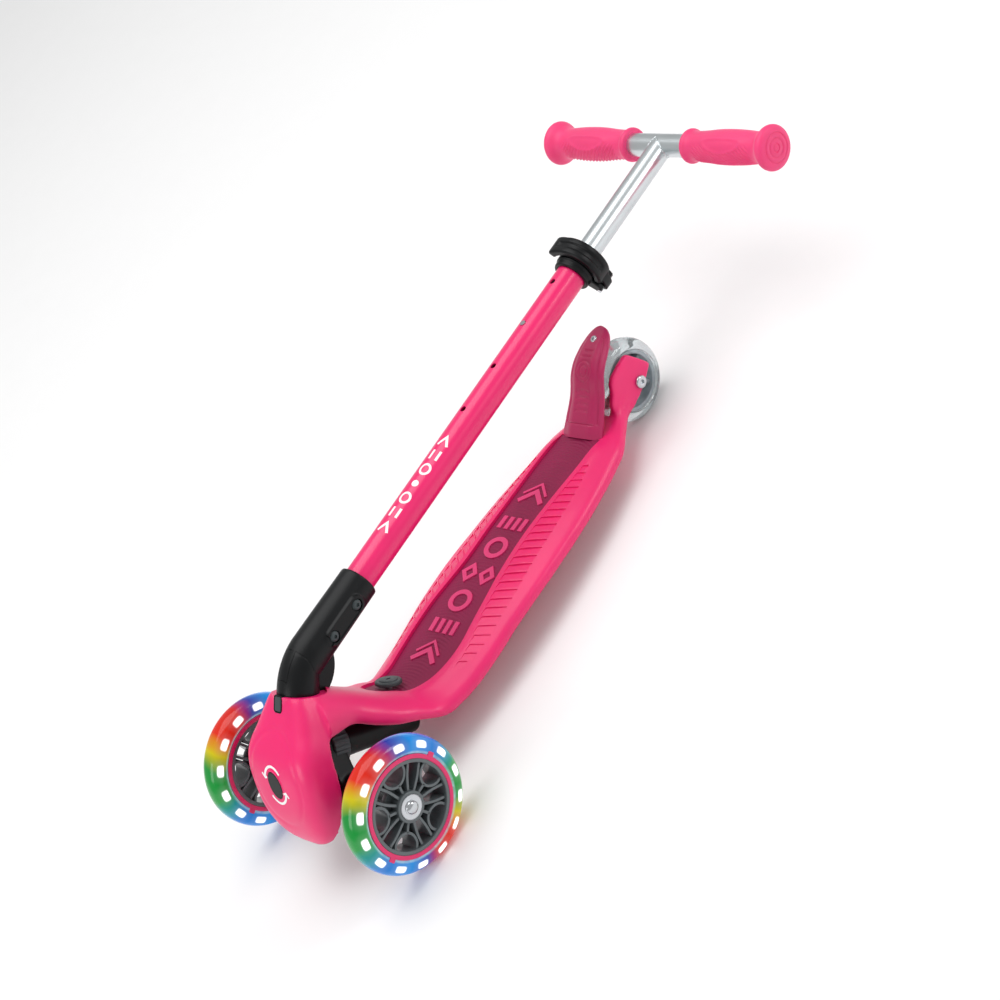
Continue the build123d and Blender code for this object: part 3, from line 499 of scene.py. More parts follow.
@dataclass(frozen=True)
class Finish:
    """A moulded or coated surface: mottled colour, fine grain, satin or gloss."""

    name: str
    colour: str
    roughness: float
    grain_mm: float = 0.5
    grain_depth_mm: float = 0.02
    mottle: float = 0.06
    metallic: float = 0.0
    coat: float = 0.0
    ior: float = 1.5
    subsurface: float = 0.0
    specular: float = 0.5
    sheen: float = 0.0

    def shader(self) -> tuple[bpy.types.Material, bpy.types.NodeTree, bpy.types.Node,
                              bpy.types.Node]:
        """Empty material with its tree, shader and object coordinates."""
        made = bpy.data.materials.new(self.name)
        made.use_nodes = True
        tree = made.node_tree
        tree.nodes.clear()
        settings = {"Base Color": linear(self.colour), "Roughness": self.roughness,
                    "Metallic": self.metallic, "Coat Weight": self.coat,
                    "Coat Roughness": 0.08, "Subsurface Weight": self.subsurface,
                    "Subsurface Scale": 0.004, "Specular IOR Level": self.specular,
                    "Sheen Weight": self.sheen, "Sheen Roughness": 0.4}
        if not self.metallic:
            settings["IOR"] = self.ior
        shader = node(tree, "BsdfPrincipled", settings)
        node(tree, "OutputMaterial", links={"Surface": shader.outputs["BSDF"]})
        return made, tree, shader, node(tree, "TexCoord")

    def build(self) -> bpy.types.Material:
        """Makes the material."""
        made, tree, shader, place = self.shader()
        self.dress(tree, shader, place.outputs["Object"])
        return made

    def cloud(self, shader: bpy.types.Node, where: bpy.types.NodeSocket, scale: float,
              detail: float, spread: float = 0.2) -> None:
        """Plays the colour between a darker and a lighter tone over soft clouds."""
        tree = shader.id_data
        base = linear(self.colour)[:3]
        dark, light = ((*[min(1.0, c * share) for c in base], 1.0)
                       for share in (1 - self.mottle, 1 + self.mottle))
        noise = node(tree, "TexNoise", {"Scale": scale, "Detail": detail}, {"Vector": where})
        tree.links.new(ramp(tree, noise.outputs["Fac"], [(0.5 - spread, dark),
                                                         (0.5 + spread, light)]),
                       shader.inputs["Base Color"])

    def gloss(self, shader: bpy.types.Node, height: bpy.types.NodeSocket, low: float,
              high: float) -> None:
        """Plays the roughness between two shares of its value."""
        rough = node(shader.id_data, "MapRange", {"To Min": self.roughness * low,
                                                  "To Max": self.roughness * high},
                     {"Value": height})
        shader.id_data.links.new(rough.outputs["Result"], shader.inputs["Roughness"])

    def relief(self, shader: bpy.types.Node, height: bpy.types.NodeSocket, strength: float,
               depth_mm: float) -> None:
        """Roughens the surface by a height pattern."""
        bump = node(shader.id_data, "Bump", {"Strength": strength, "Distance": depth_mm * MM},
                    {"Height": height})
        shader.id_data.links.new(bump.outputs["Normal"], shader.inputs["Normal"])

    def dress(self, tree: bpy.types.NodeTree, shader: bpy.types.Node,
              where: bpy.types.NodeSocket) -> None:
        """Adds the mottle, the grain's relief and the play in the gloss."""
        self.cloud(shader, where, 28.0, 3.0)
        grain = node(tree, "TexNoise", {"Scale": 1 / (self.grain_mm * MM), "Detail": 2.0},
                     {"Vector": where})
        self.gloss(shader, grain.outputs["Fac"], 0.9, 1.12)
        self.relief(shader, grain.outputs["Fac"], 0.5, self.grain_depth_mm)


@dataclass(frozen=True)
class DrawnMetal(Finish):
    """Drawn or turned metal, with fine lines along one axis."""

    stretch: tuple[float, float, float] = (1.0, 0.03, 1.0)

    def dress(self, tree: bpy.types.NodeTree, shader: bpy.types.Node,
              where: bpy.types.NodeSocket) -> None:
        """Adds drawing lines to the gloss and relief, and a little cloudiness."""
        along = node(tree, "Mapping", {"Scale": self.stretch}, {"Vector": where})
        lines = node(tree, "TexNoise", {"Scale": 1 / (self.grain_mm * MM), "Detail": 3.0},
                     {"Vector": along.outputs["Vector"]})
        self.cloud(shader, where, 40.0, 2.0)
        self.gloss(shader, lines.outputs["Fac"], 0.8, 1.25)
        self.relief(shader, lines.outputs["Fac"], 0.35, self.grain_depth_mm)


@dataclass(frozen=True)
class ClearPolyurethane(Finish):
    """Cast clear polyurethane: a glossy skin with faint flow clouds and tiny bubbles."""

    transmission: float = 0.85
    bubble_mm: float = 3.0

    def dress(self, tree: bpy.types.NodeTree, shader: bpy.types.Node,
              where: bpy.types.NodeSocket) -> None:
        """Adds flow clouds to the tint and bubbles to the relief."""
        shader.inputs["Transmission Weight"].default_value = self.transmission
        self.cloud(shader, where, 60.0, 4.0, 0.15)
        bubbles = node(tree, "TexVoronoi", {"Scale": 1 / (self.bubble_mm * MM)},
                       {"Vector": where})
        self.relief(shader, bubbles.outputs["Distance"], 0.15, 0.1)


@dataclass(frozen=True)
class LitPolyurethane(Finish):
    """Clear polyurethane tyre lit from inside: coloured light round the wheel and white-hot
    spots over the lamps."""

    middle: tuple[float, float] = (0.0, 0.0)
    lamps: int = 14
    lamp_r_mm: float = 53.2
    lamp_long_mm: float = 5.2
    lamp_high_mm: float = 2.9
    phase: float = 0.92
    clear_r_mm: float = 46.2
    full_r_mm: float = 48.6

    def dress(self, tree: bpy.types.NodeTree, shader: bpy.types.Node,
              where: bpy.types.NodeSocket) -> None:
        """Draws the light by the angle round the wheel and the lamps by arc and radius."""
        y, z = self.middle
        centred = node(tree, "Mapping", {"Location": (0, -y, -z)}, {"Vector": where})
        axes = node(tree, "SeparateXYZ", links={0: centred.outputs["Vector"]})
        ay, az = axes.outputs["Y"], axes.outputs["Z"]

        def maths(kind: str, first: object, second: object = None) -> bpy.types.NodeSocket:
            """Adds a Math node on sockets or numbers."""
            settings, links = {"operation": kind}, {}
            for key, value in ((0, first), (1, second)):
                if isinstance(value, bpy.types.NodeSocket):
                    links[key] = value
                elif value is not None:
                    settings[key] = value
            return node(tree, "Math", settings, links).outputs[0]

        angle = maths("ARCTAN2", az, ay)
        radius = maths("SQRT", maths("ADD", maths("MULTIPLY", ay, ay),
                                     maths("MULTIPLY", az, az)))
        drift = node(tree, "TexNoise", {"Scale": 35.0, "Detail": 2.0}, {"Vector": where})
        wander = maths("MULTIPLY", maths("SUBTRACT", drift.outputs["Fac"], 0.5), 0.10)
        share = maths("FRACT", maths("ADD", maths("ADD", maths("DIVIDE", angle, math.pi),
                                                  2.0 + self.phase), wander))
        light = ramp(tree, share, [
            (0.00, linear("#0E7CD8")), (0.17, linear("#0A92E8")), (0.27, linear("#3038A8")),
            (0.36, linear("#DC1A12")), (0.50, linear("#E82A10")), (0.58, linear("#D8C80E")),
            (0.67, linear("#129638")), (0.84, linear("#0E9E3E")), (0.93, linear("#0C98B4")),
            (1.00, linear("#0E7CD8")),
        ])
        # Lamps, by arc and radius.
        turn = maths("SUBTRACT", maths("FRACT", maths("ADD", maths(
            "MULTIPLY", angle, self.lamps / (2 * math.pi)), 20.25)), 0.5)
        arc = maths("DIVIDE", maths("MULTIPLY", turn, maths(
            "MULTIPLY", radius, 2 * math.pi / self.lamps)), self.lamp_long_mm * MM)
        high = maths("DIVIDE", maths("SUBTRACT", radius, self.lamp_r_mm * MM),
                     self.lamp_high_mm * MM)
        away = maths("POWER", maths("ADD", maths("POWER", arc, 4.0),
                                    maths("POWER", high, 4.0)), 0.25)
        spot = node(tree, "MapRange", {"From Min": 1.25, "From Max": 0.75,
                                       "interpolation_type": "SMOOTHSTEP"}, {"Value": away})
        halo = node(tree, "MapRange", {"From Min": 2.6, "From Max": 1.0,
                                       "interpolation_type": "SMOOTHSTEP"}, {"Value": away})
        # Pale, clearer band beside the rim.
        inner = node(tree, "MapRange", {"From Min": self.full_r_mm * MM,
                                        "From Max": self.clear_r_mm * MM,
                                        "interpolation_type": "SMOOTHSTEP"}, {"Value": radius})
        streaks = node(tree, "TexNoise", {"Scale": 120.0, "Detail": 3.0, "Distortion": 1.2},
                       {"Vector": where})
        clear = maths("MULTIPLY", inner.outputs["Result"], maths(
            "MULTIPLY", streaks.outputs["Fac"], 1.15))
        pale = node(tree, "Mix", {"data_type": "RGBA", 7: linear("#BFE3EA")},
                    {0: clear, 6: light})
        glowing = node(tree, "Mix", {"data_type": "RGBA", 7: linear("#FFFFFF")},
                       {0: maths("MULTIPLY", halo.outputs["Result"], 0.06), 6: pale.outputs[2]})
        white = node(tree, "Mix", {"data_type": "RGBA", 7: linear("#FFFFFF")},
                     {0: spot.outputs["Result"], 6: glowing.outputs[2]})
        deep = node(tree, "Mix", {"data_type": "RGBA", 0: 0.55, 7: linear("#000000")},
                    {6: white.outputs[2]})
        tree.links.new(deep.outputs[2], shader.inputs["Base Color"])
        tree.links.new(white.outputs[2], shader.inputs["Emission Color"])
        power = maths("ADD", maths("MULTIPLY", spot.outputs["Result"], 0.9), 0.46)
        tree.links.new(power, shader.inputs["Emission Strength"])


class Finishes:
    """Every finish of the scooter, each made once."""

    def __init__(self, middle: tuple[float, float]) -> None:
        """Makes the materials; middle is the front axle's y and z in the frame, metres."""
        # Glass-filled nylon, satin moulding: soft broad highlights over a very fine grain.
        self.shell = Finish("moulded_pink_nylon", "#EC186C", 0.40, 0.6, 0.012, 0.03,
                            subsurface=0.08, coat=0.08).build()
        # Powder-coated steel: glossier than the moulding, with a faint orange peel.
        self.tube = DrawnMetal("powder_coated_pink_tube", "#EA0E68", 0.30, 0.9, 0.01, 0.03,
                               coat=0.25).build()
        # Soft thermoplastic rubber: no sharp highlight, slight bloom.
        self.grip = Finish("soft_pink_rubber", "#EE3A78", 0.50, 0.5, 0.03, 0.05,
                           subsurface=0.1, sheen=0.15).build()
        # Ribbed thermoplastic elastomer insert.
        self.mat = Finish("berry_elastomer_mat", "#8C1448", 0.5, 0.6, 0.03, 0.07,
                          specular=0.3).build()
        self.brake = Finish("berry_nylon_brake", "#B01C58", 0.40, 0.7, 0.02, 0.05).build()
        # Glass-filled nylon, black: charcoal where it catches light.
        self.black = Finish("moulded_black_nylon", "#0B0D0F", 0.38, 0.5, 0.02, 0.12,
                            specular=0.24).build()
        self.grey = Finish("moulded_grey_nylon", "#40484A", 0.42, 0.5, 0.02, 0.08,
                           specular=0.3).build()
        self.elastomer = Finish("grey_elastomer", "#3C4144", 0.6, 0.5, 0.03, 0.1).build()
        # Semi-gloss nylon wheel core.
        self.core = Finish("wheel_core_nylon", "#5A6164", 0.28, 0.8, 0.01, 0.06,
                           coat=0.15).build()
        self.trim = Finish("pink_trim_abs", "#E21C66", 0.35, 0.8, 0.01, 0.03, coat=0.2).build()
        # Satin anodised aluminium tube.
        self.aluminium = DrawnMetal("satin_anodised_aluminium", "#D2D8DA", 0.30, 0.5, 0.01,
                                    0.03, metallic=1.0).build()
        self.bar = DrawnMetal("satin_anodised_bar", "#D2D8DA", 0.30, 0.5, 0.01, 0.03,
                              metallic=1.0, stretch=(0.03, 1.0, 1.0)).build()
        # Bright zinc plate on steel.
        self.steel = Finish("zinc_plated_steel", "#C9CCD0", 0.2, 0.4, 0.008, 0.05,
                            metallic=1.0).build()
        self.bearing = Finish("ground_bearing_steel", "#54595D", 0.28, 0.4, 0.008, 0.08,
                              metallic=1.0).build()
        self.print = Finish("white_screen_print", "#F4F4F4", 0.5, 0.4, 0.01, 0.02).build()
        self.inlay = Finish("pink_mat_inlay", "#E43478", 0.48, 0.5, 0.02, 0.04).build()
        self.clear = ClearPolyurethane("clear_polyurethane", "#DCE5E7", 0.08,
                                       mottle=0.08).build()
        self.clear_core = ClearPolyurethane("clear_core_polycarbonate", "#B9C8CE", 0.12,
                                            mottle=0.1, ior=1.58, transmission=0.55).build()
        self.band = ClearPolyurethane("lamp_ring_polycarbonate", "#9FD8E8", 0.2,
                                      transmission=0.3).build()
        self.lit = {side: LitPolyurethane(f"lit_tyre_{SIDE_NAME[side]}", "#FFFFFF", 0.16, coat=0.2,
                                          specular=0.25, middle=middle).build() for side in PAIR}


class Slot(Enum):
    """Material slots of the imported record."""

    BODY = "pink_body"
    TUBE = "pink_tube"
    GRIP = "pink_rubber"
    BERRY = "berry_plastic"
    BLACK = "black_plastic"
    GREY = "grey_plastic"
    CORE = "core_plastic"
    STEEL = "steel"
    ALUMINIUM = "aluminium"
    CLEAR = "clear_tyre"
    BAND = "light_band"
    ELASTOMER = "elastomer"


class Bench:
    """The frame being dressed: its bodies, nodes and finishes."""

    front: float = 0.0

    def __init__(self) -> None:
        """Loads the frame and finds the front axle."""
        self.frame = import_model()
        low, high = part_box("left_tyre")
        Bench.front = (low.y + high.y) / 2 / MM
        self.body_of = {name: body for body, names in
                        self.frame["record"]["behaviour"]["bodies"].items() for name in names}
        self.finish = Finishes(((low.y + high.y) / 2, (low.z + high.z) / 2))

    def place(self, piece: bpy.types.Object, material: bpy.types.Material, slot: Slot,
              stands_for: Sequence[str] = (), body: str = "", bevel: float = 0.0,
              sharp: float = 35.0) -> bpy.types.Object:
        """Finishes a piece and lets it ride.

        Args:
            piece: The piece.
            material: Its material.
            slot: A slot of the record; not used.
            stands_for: CAD nodes that it replaces.
            body: The body it rides on, where it replaces nothing.
            bevel: Width of its softened edges, millimetres.
            sharp: Angle between faces above which an edge stays sharp, degrees.

        Returns:
            The piece.
        """
        piece.data.materials.clear()
        piece.data.materials.append(material)
        piece.data.shade_smooth()
        piece.data.set_sharp_from_angle(angle=math.radians(sharp))
        if bevel:
            soften = piece.modifiers.new("Edges", "BEVEL")
            soften.width, soften.segments = bevel * MM, 2
            soften.limit_method, soften.angle_limit = "ANGLE", math.radians(sharp)
            soften.harden_normals = True
        if stands_for:
            body = self.body_of[stands_for[0]]
            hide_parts(*stands_for)
        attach(piece, body)
        LOG.info("%s on %s, %d faces", piece.name, body, len(piece.data.polygons))
        return piece

    def dress(self, material: bpy.types.Material, slot: Slot, *names: str) -> None:
        """Gives CAD nodes a material."""
        for name in names:
            own = self.frame["nodes"][name]
            own.data.materials.clear()
            own.data.materials.append(material)


# ---- deck -------------------------------------------------------------------------------------
@dataclass
class Deck:
    """Pink moulding with its mat: board, neck, front shield, rear fork and small hardware."""

    bench: Bench
    wall: float = 5.0
    rim: float = 1.9
    mat_depth: float = 2.6
    mat_end: float = 399
    mat_sections: int = 11
    tread_pitch: float = 9.2
    tread_cells: int = 25
    tread_lean: float = 0.6
    slot_half: float = 6.4
    slot_r: float = 35.8
    slot_wall: float = 2.6
    lock_stretch: float = 13.6 / 9.3

    # Distance back, mat half-width and height, edge half-width and height.
    board = (
        (100, 23.6, 62.0, 55.5, 42.5), (118, 28.5, 54.0, 58.8, 38.6), (138, 32.8, 51.6, 61.4, 36.9),
        (160, 34.3, 51.6, 63.0, 37.2), (180, 33.0, 53.0, 64.0, 38.2), (200, 31.0, 53.9, 64.4, 39.3),
        (240, 25.6, 53.9, 65.0, 39.0), (280, 24.3, 53.9, 63.3, 37.0), (320, 24.9, 51.7, 60.4, 35.2),
        (360, 26.6, 48.7, 54.3, 33.4), (386, 26.4, 46.4, 49.4, 33.2), (400, 25.0, 42.5, 46.0, 33.6),
        (420, 24.0, 39.5, 34.5, 34.6), (440, 21.0, 41.5, 24.0, 36.0), (452, 20.0, 42.5, 21.5, 37.0),
    )
    # Place along the steering axis, then half sections as (x, lift) from the edge to the crown.
    neck = (
        (31, ((38.5, 20), (40.8, 22), (41.8, 26), (41.5, 31), (39.5, 36.5), (35, 43.5), (28.5, 50),
              (21, 54.5), (10.5, 58), (0, 59))),
        (14, ((33, 21), (34.8, 24), (35, 29), (34, 34.5), (31.5, 40), (27.5, 45.5), (22, 50.5),
              (15.5, 54.5), (8, 57), (0, 57.5))),
        (-4, ((29.5, 22), (31.2, 24.5), (31.8, 28.5), (31, 33), (28.8, 37.5), (25, 42), (20, 46),
              (14, 49), (7, 50.5), (0, 50.7))),
        (-22, ((36, 16.5), (38, 19), (38.2, 23), (36.8, 27.5), (33.5, 32), (28.5, 36.5),
               (22.5, 40.2), (15.5, 42.8), (8, 43.8), (0, 44))),
        (-40, ((44.5, 13.5), (46.5, 16), (46.8, 20), (44.8, 24.5), (40, 28.8), (33.5, 32.8),
               (26, 35.8), (18, 37.4), (9, 37.9), (0, 38))),
        (-57, ((48.8, 13), (50.6, 15.2), (50.8, 19), (48.8, 22.8), (44, 26.8), (37.8, 30.6),
               (30.5, 33.4), (22, 34.8), (11, 35.2), (0, 35.2))),
    )
    # Lift above the steering axis, half-width, depth in front of the rear edge.
    shield = (
        (-80.5, 7.0, 3.5), (-76, 21.5, 10.5), (-68, 31.5, 18.0), (-58, 38.5, 24.0),
        (-45, 44.0, 29.4), (-32, 47.0, 32.6), (-18, 48.6, 35.3), (-7, 48.2, 37.2),
        (5, 46.3, 37.4), (16, 43.2, 34.4), (28, 38.0, 29.4), (44, 30.0, 23.6),
        (57, 21.5, 19.2), (62, 14.0, 14.0),
    )
    shield_rear = 30.0
    bluntness = 2 / 4.3
    mat_tip = ((79.2, 1.5, 85.0), (80.5, 7.0, 83.2), (83.5, 11.5, 79.2), (88, 15.6, 74.4),
               (94, 19.6, 67.8))
    fork = ((430, 28.5), (446, 27.8), (462, 30), (477, 34.6), (489, 40.4), (492, 44), (480.2, 67.4),
            (476.5, 70), (465, 69.8), (453, 68.2), (446.4, 64.4), (441.4, 57), (432, 47.5))

    def board_half(self, row: Sequence[float]) -> list[tuple[float, float]]:
        """Half section of the board, from its lower edge to the middle of its top."""
        _, mat_w, mat_z, edge_w, edge_z = row
        top = mat_z + self.rim
        return [
            (edge_w - 3.5, edge_z - 8), (edge_w - 0.4, edge_z - 3.6), (edge_w, edge_z),
            (edge_w - 2.8, edge_z + 4.6),
            (0.34 * mat_w + 0.66 * edge_w, 0.45 * top + 0.55 * edge_z + 1.6),
            (0.57 * mat_w + 0.43 * edge_w, 0.72 * top + 0.28 * edge_z + 1.2),
            (0.80 * mat_w + 0.20 * edge_w, 0.93 * top + 0.07 * edge_z + 0.5),
            (mat_w + 1.5, top), (mat_w * 0.5, top), (0, top),
        ]

    def inward(self, half: Sequence[Sequence[float]]) -> list[tuple[float, float]]:
        """The same half section moved in by the wall, its foot dropped to open the underside."""
        moved = []
        for index, (x, v) in enumerate(half):
            low, high = half[max(index - 1, 0)], half[min(index + 1, len(half) - 1)]
            run = Vector((high[0] - low[0], high[1] - low[1])).normalized()
            wall = self.wall + 1.6 * ease(0.45, 0.75, index / len(half))
            moved.append((max(0.0, x - run.y * wall), v + run.x * wall))
        moved[-1] = (0.0, moved[-1][1])
        moved[0] = (moved[1][0], half[0][1] - 12)
        return moved

    def skin(self, change: Callable[[Sequence], list] = list, last: int = 15) -> list[Ring]:
        """Rings of the neck and board, smoothed along and across."""
        rows = [[steer(x, along, lift) for x, lift in change(half)] for along, half in self.neck]
        rows += [[Vector((x, row[0], z)) for x, z in change(self.board_half(row))]
                 for row in self.board[:last]]
        columns = [through(column, 3) for column in zip(*rows)]
        rings = []
        for row in zip(*columns):
            rings.append(both_sides(through(row, 3)))
        return rings

    def rear_edge(self, lift: float) -> float:
        """How far forward of the steering origin the shield's rear edge lies at a level."""
        return self.shield_rear + 4.0 * ease(-36, 4, lift) - 8.0 * ease(12, 32, lift)

    def shield_ring(self, lift: float, inset: float = 0.0, rear: float | None = None) -> Ring:
        """One level of the shield: a full, blunt bow in front of its rear edge."""
        width = value_at(self.shield, lift, 1) - inset
        front = self.shield_rear + value_at(self.shield, lift, 2) - inset
        start = self.rear_edge(lift) if rear is None else rear
        line = []
        for step in range(13):
            turn = math.radians(90 * step / 12)
            line.append(steer(width * math.cos(turn) ** self.bluntness,
                              start + (front - start) * math.sin(turn) ** self.bluntness, lift))
        return both_sides(line)

    def mat_rows(self) -> list[tuple[float, float, float]]:
        """Distance back, half-width and height of the mat."""
        board = [(y, width, z) for y, width, z, _, _ in self.board[:self.mat_sections]]
        return [*self.mat_tip, *board, (self.mat_end, 25.6, 45.2)]

    def pocket(self, spread: float, up: float, down: float) -> list[Ring]:
        """Slices of the recess that holds the mat."""
        rings = []
        rows = self.mat_rows()
        for y in [*range(80, 400, 4), self.mat_end]:
            width, z = value_at(rows, y, 1) + spread, value_at(rows, y, 2)
            rings.append([Vector((width, y, z - down)), Vector((width, y, z + up)),
                          Vector((-width, y, z + up)), Vector((-width, y, z - down))])
        return rings

    def build_shell(self) -> bpy.types.Object:
        """The pink moulding: fused, softened, hollowed and pocketed."""
        body = Clay().loft(self.skin())
        body.loft([self.shield_ring(lift) for lift in (-80.5, -79, *range(-77, 63, 3))])
        body.prism(circle(21.9), elbow_frame(SEAM - 5), -26)
        outline = through(self.fork, 4, closed=True)
        for x in (14.0, -21.0):
            body.prism(outline, side_frame(x), 7.0)
        shell = melted(body.solid("deck_shell"), 1.7, 9)
        self.crease(shell)
        tread = self.tread(shell)
        self.hollow(shell, self.skin(self.inward, self.mat_sections))
        self.hollow(shell, [self.shield_ring(lift, self.wall, 12.0) for lift in range(-74, 5, 3)])
        self.hollow(shell, [self.shield_ring(lift, self.wall + 3, self.shield_rear)
                            for lift in range(0, 25, 3)])
        cut(shell, Clay().loft(self.pocket(0.3, 14.0, self.mat_depth)))
        cut(shell, Clay().prism(circle(REAR_R + 4, 64, WHEELBASE, REAR_R), side_frame(-14), 28))
        cut(shell, Clay().prism(circle(15.0), steer_frame(-98), 62))
        cut(shell, Clay().prism(circle(24.5), elbow_frame(SEAM), 16))
        cut(shell, Clay().prism(circle(15.1), elbow_frame(SEAM + 19), 20))
        cut(shell, Clay().prism(hinge_fan(self.slot_r, -118, 10), side_frame(-self.slot_half),
                                2 * self.slot_half))
        cut(shell, Clay().prism(circle(9.3, 64, stretch=self.lock_stretch), shifted(LOCK_FACE, -17), 29))
        cut(shell, Clay().prism(rounded(11.4, 15.6, 3.2), shifted(RELEASE, -8), 24))
        cut(shell, Clay().prism(rounded(21, 20, 2, x=409, y=46), side_frame(-10.5), 21))
        cut(shell, tread)
        return self.bench.place(shell, self.bench.finish.shell, Slot.BODY, ["deck_body"], sharp=40)

    def hollow(self, shell: bpy.types.Object, rings: Sequence[Ring]) -> None:
        """Hollows the moulding, leaving walls round the slot of the fold disc."""
        cavity = Clay().loft(rings).solid("deck_cavity")
        half = self.slot_half + self.slot_wall
        cut(cavity, Clay().prism(hinge_fan(39.0, -150, 40), side_frame(-half), 2 * half))
        cut(shell, cavity)

    def crease(self, shell: bpy.types.Object) -> None:
        """Presses the shallow oval line into the shield's face."""
        for vert in shell.data.vertices:
            point = vert.co / MM - Vector((0, Bench.front, 0))
            ahead = -(point.y - STEER_Y) * math.cos(STEER) + (point.z - STEER_Z) * math.sin(STEER)
            lift = (point.y - STEER_Y) * math.sin(STEER) + (point.z - STEER_Z) * math.cos(STEER)
            if ahead < 36:
                continue
            span = math.hypot(point.x / 33.0, (lift + 14) / 44.0)
            away = (span - 1) * 38.0
            vert.co -= vert.normal * 0.6 * math.exp(-(away / 2.2) ** 2) * MM

    def tread(self, shell: bpy.types.Object) -> Clay:
        """Wedge cells of the tread band on each rim, laid on the shell's own surface."""
        cells = Clay()
        rows = self.mat_rows()
        above = 4.0

        def top(x: float, y: float) -> float:
            """Height of the shell over a place."""
            start = Vector((x, y + Bench.front, 200)) * MM
            hit, point, _, _ = shell.ray_cast(start, Vector((0, 0, -1)))
            return point.z / MM if hit else 40.0

        for index in range(self.tread_cells):
            y = 136 + index * self.tread_pitch
            share = (index + 0.5) / self.tread_cells
            reach = 4.5 + 13.5 * math.sin(math.pi * min(1.0, share * 1.04)) ** 0.7
            inner = value_at(rows, y, 1) + 5.5 + 5.0 * ease(0.3, 0.0, share)
            for side in PAIR:
                rings = []
                for step, depth in ((0.7, 0.15), (self.tread_pitch - 0.3, 0.95)):
                    low, high = [], []
                    for x in (inner, inner + reach):
                        back = y + step + self.tread_lean * (x - inner)
                        lift = top(side * x, back)
                        low.append(Vector((side * x, back, lift - depth)))
                        high.append(Vector((side * x, back, lift + above)))
                    rings.append(low + high[::-1])
                cells.loft(rings)
        return cells

    def build_ribs(self) -> None:
        """Cross ribs under the board."""
        ribs = Clay()
        rows = self.mat_rows()
        for y in range(140, 361, 22):
            floor = value_at(self.board, y, 4) - 5.0
            roof = value_at(rows, y, 2) - 4.5
            width = value_at(self.board, y, 3) - 9
            ribs.prism([(-width, floor), (width, floor), (width - 14, roof), (14 - width, roof)],
                       frame_at((0, y, 0), (1, 0, 0), (0, -1, 0)), 2.2)
        self.bench.place(ribs.solid("deck_ribs"), self.bench.finish.shell, Slot.BODY, body="deck")

    def build_mat(self) -> None:
        """The ribbed insert, with curved ribs along its whole length."""
        rows = self.mat_rows()
        start, end, step, across = 80.2, 398.6, 0.6, 26
        rib_pitch, rib_high = 3.6, 0.24
        rings = []
        for index in range(int((end - start) / step) + 1):
            y = start + index * step
            width, z = value_at(rows, y, 1), value_at(rows, y, 2)
            ring = []
            for k in range(across + 1):
                share = 1 - 2 * k / across
                x = width * share
                wave = math.sin(2 * math.pi * (y + 0.012 * x * x) / rib_pitch)
                edge = ease(1.0, 0.86, abs(share))
                ring.append(Vector((x, y, z - 0.5 + rib_high * wave * edge
                                    - 0.5 * (1 - edge) ** 2)))
            foot = z - self.mat_depth + 0.2
            ring += [Vector((-width, y, foot)), Vector((width, y, foot))]
            rings.append(ring)
        self.bench.place(Clay().loft(rings).solid("deck_mat_ribbed"), self.bench.finish.mat,
                         Slot.BERRY, ["deck_mat"])

    def build_inlay(self) -> None:
        """Plain raised figures on the mat: chevrons, bars, rings and lozenges."""
        rows = self.mat_rows()
        clay = Clay()

        def raised(u: float, v: float, high: float) -> Vector:
            """Point over the mat, u across and v back."""
            return Vector((u * 1.18, v, value_at(rows, v, 2) + (0.55 if high > 0 else -1.2)))

        def band(line: Sequence, width: float, closed: bool = False) -> None:
            """Raised band along a line."""
            ribbon(clay, line, width, raised, closed)

        for y in (142, 322):
            band([(-13, y - 6), (0, y + 7), (13, y - 6)], 4.6)
            band([(-13, y + 3), (0, y + 16), (13, y + 3)], 2.4)
        for y in (174, 290):
            for x in (-12, -4, 4, 12):
                band([(x, y - 7), (x, y + 7)], 4.4)
        for y in (202, 262):
            band([(9.5 * math.cos(t / 18 * math.pi), y + 9.5 * math.sin(t / 18 * math.pi))
                  for t in range(36)], 4.6, True)
        for x in (-10, 10):
            band([(x - 6.5, 232), (x, 240), (x + 6.5, 232), (x, 224)], 3.8, True)
        self.bench.place(clay.solid("deck_mat_inlay"), self.bench.finish.inlay, Slot.BERRY,
                         body="deck")

    def build_bolt_cap(self) -> None:
        """Low grey cap of the deck bolt, with its socket."""
        plane = lift_frame(35.6, -65.5)
        cap = Clay().lathe([(0, 0), (0, 11.6), (0.5, 12.2), (2.6, 12.2), (3.6, 11.2), (3.7, 8.6),
                            (4.4, 8.2), (4.6, 7.2), (4.6, 0)], plane, 64, False)
        piece = cap.solid("deck_bolt_cap_turned")
        cut(piece, Clay().prism(rounded(2.6, 5.0, 1.2), shifted(plane, 2.4), 4))
        self.bench.place(piece, self.bench.finish.grey, Slot.GREY, ["deck_bolt_cap"], bevel=0.2)

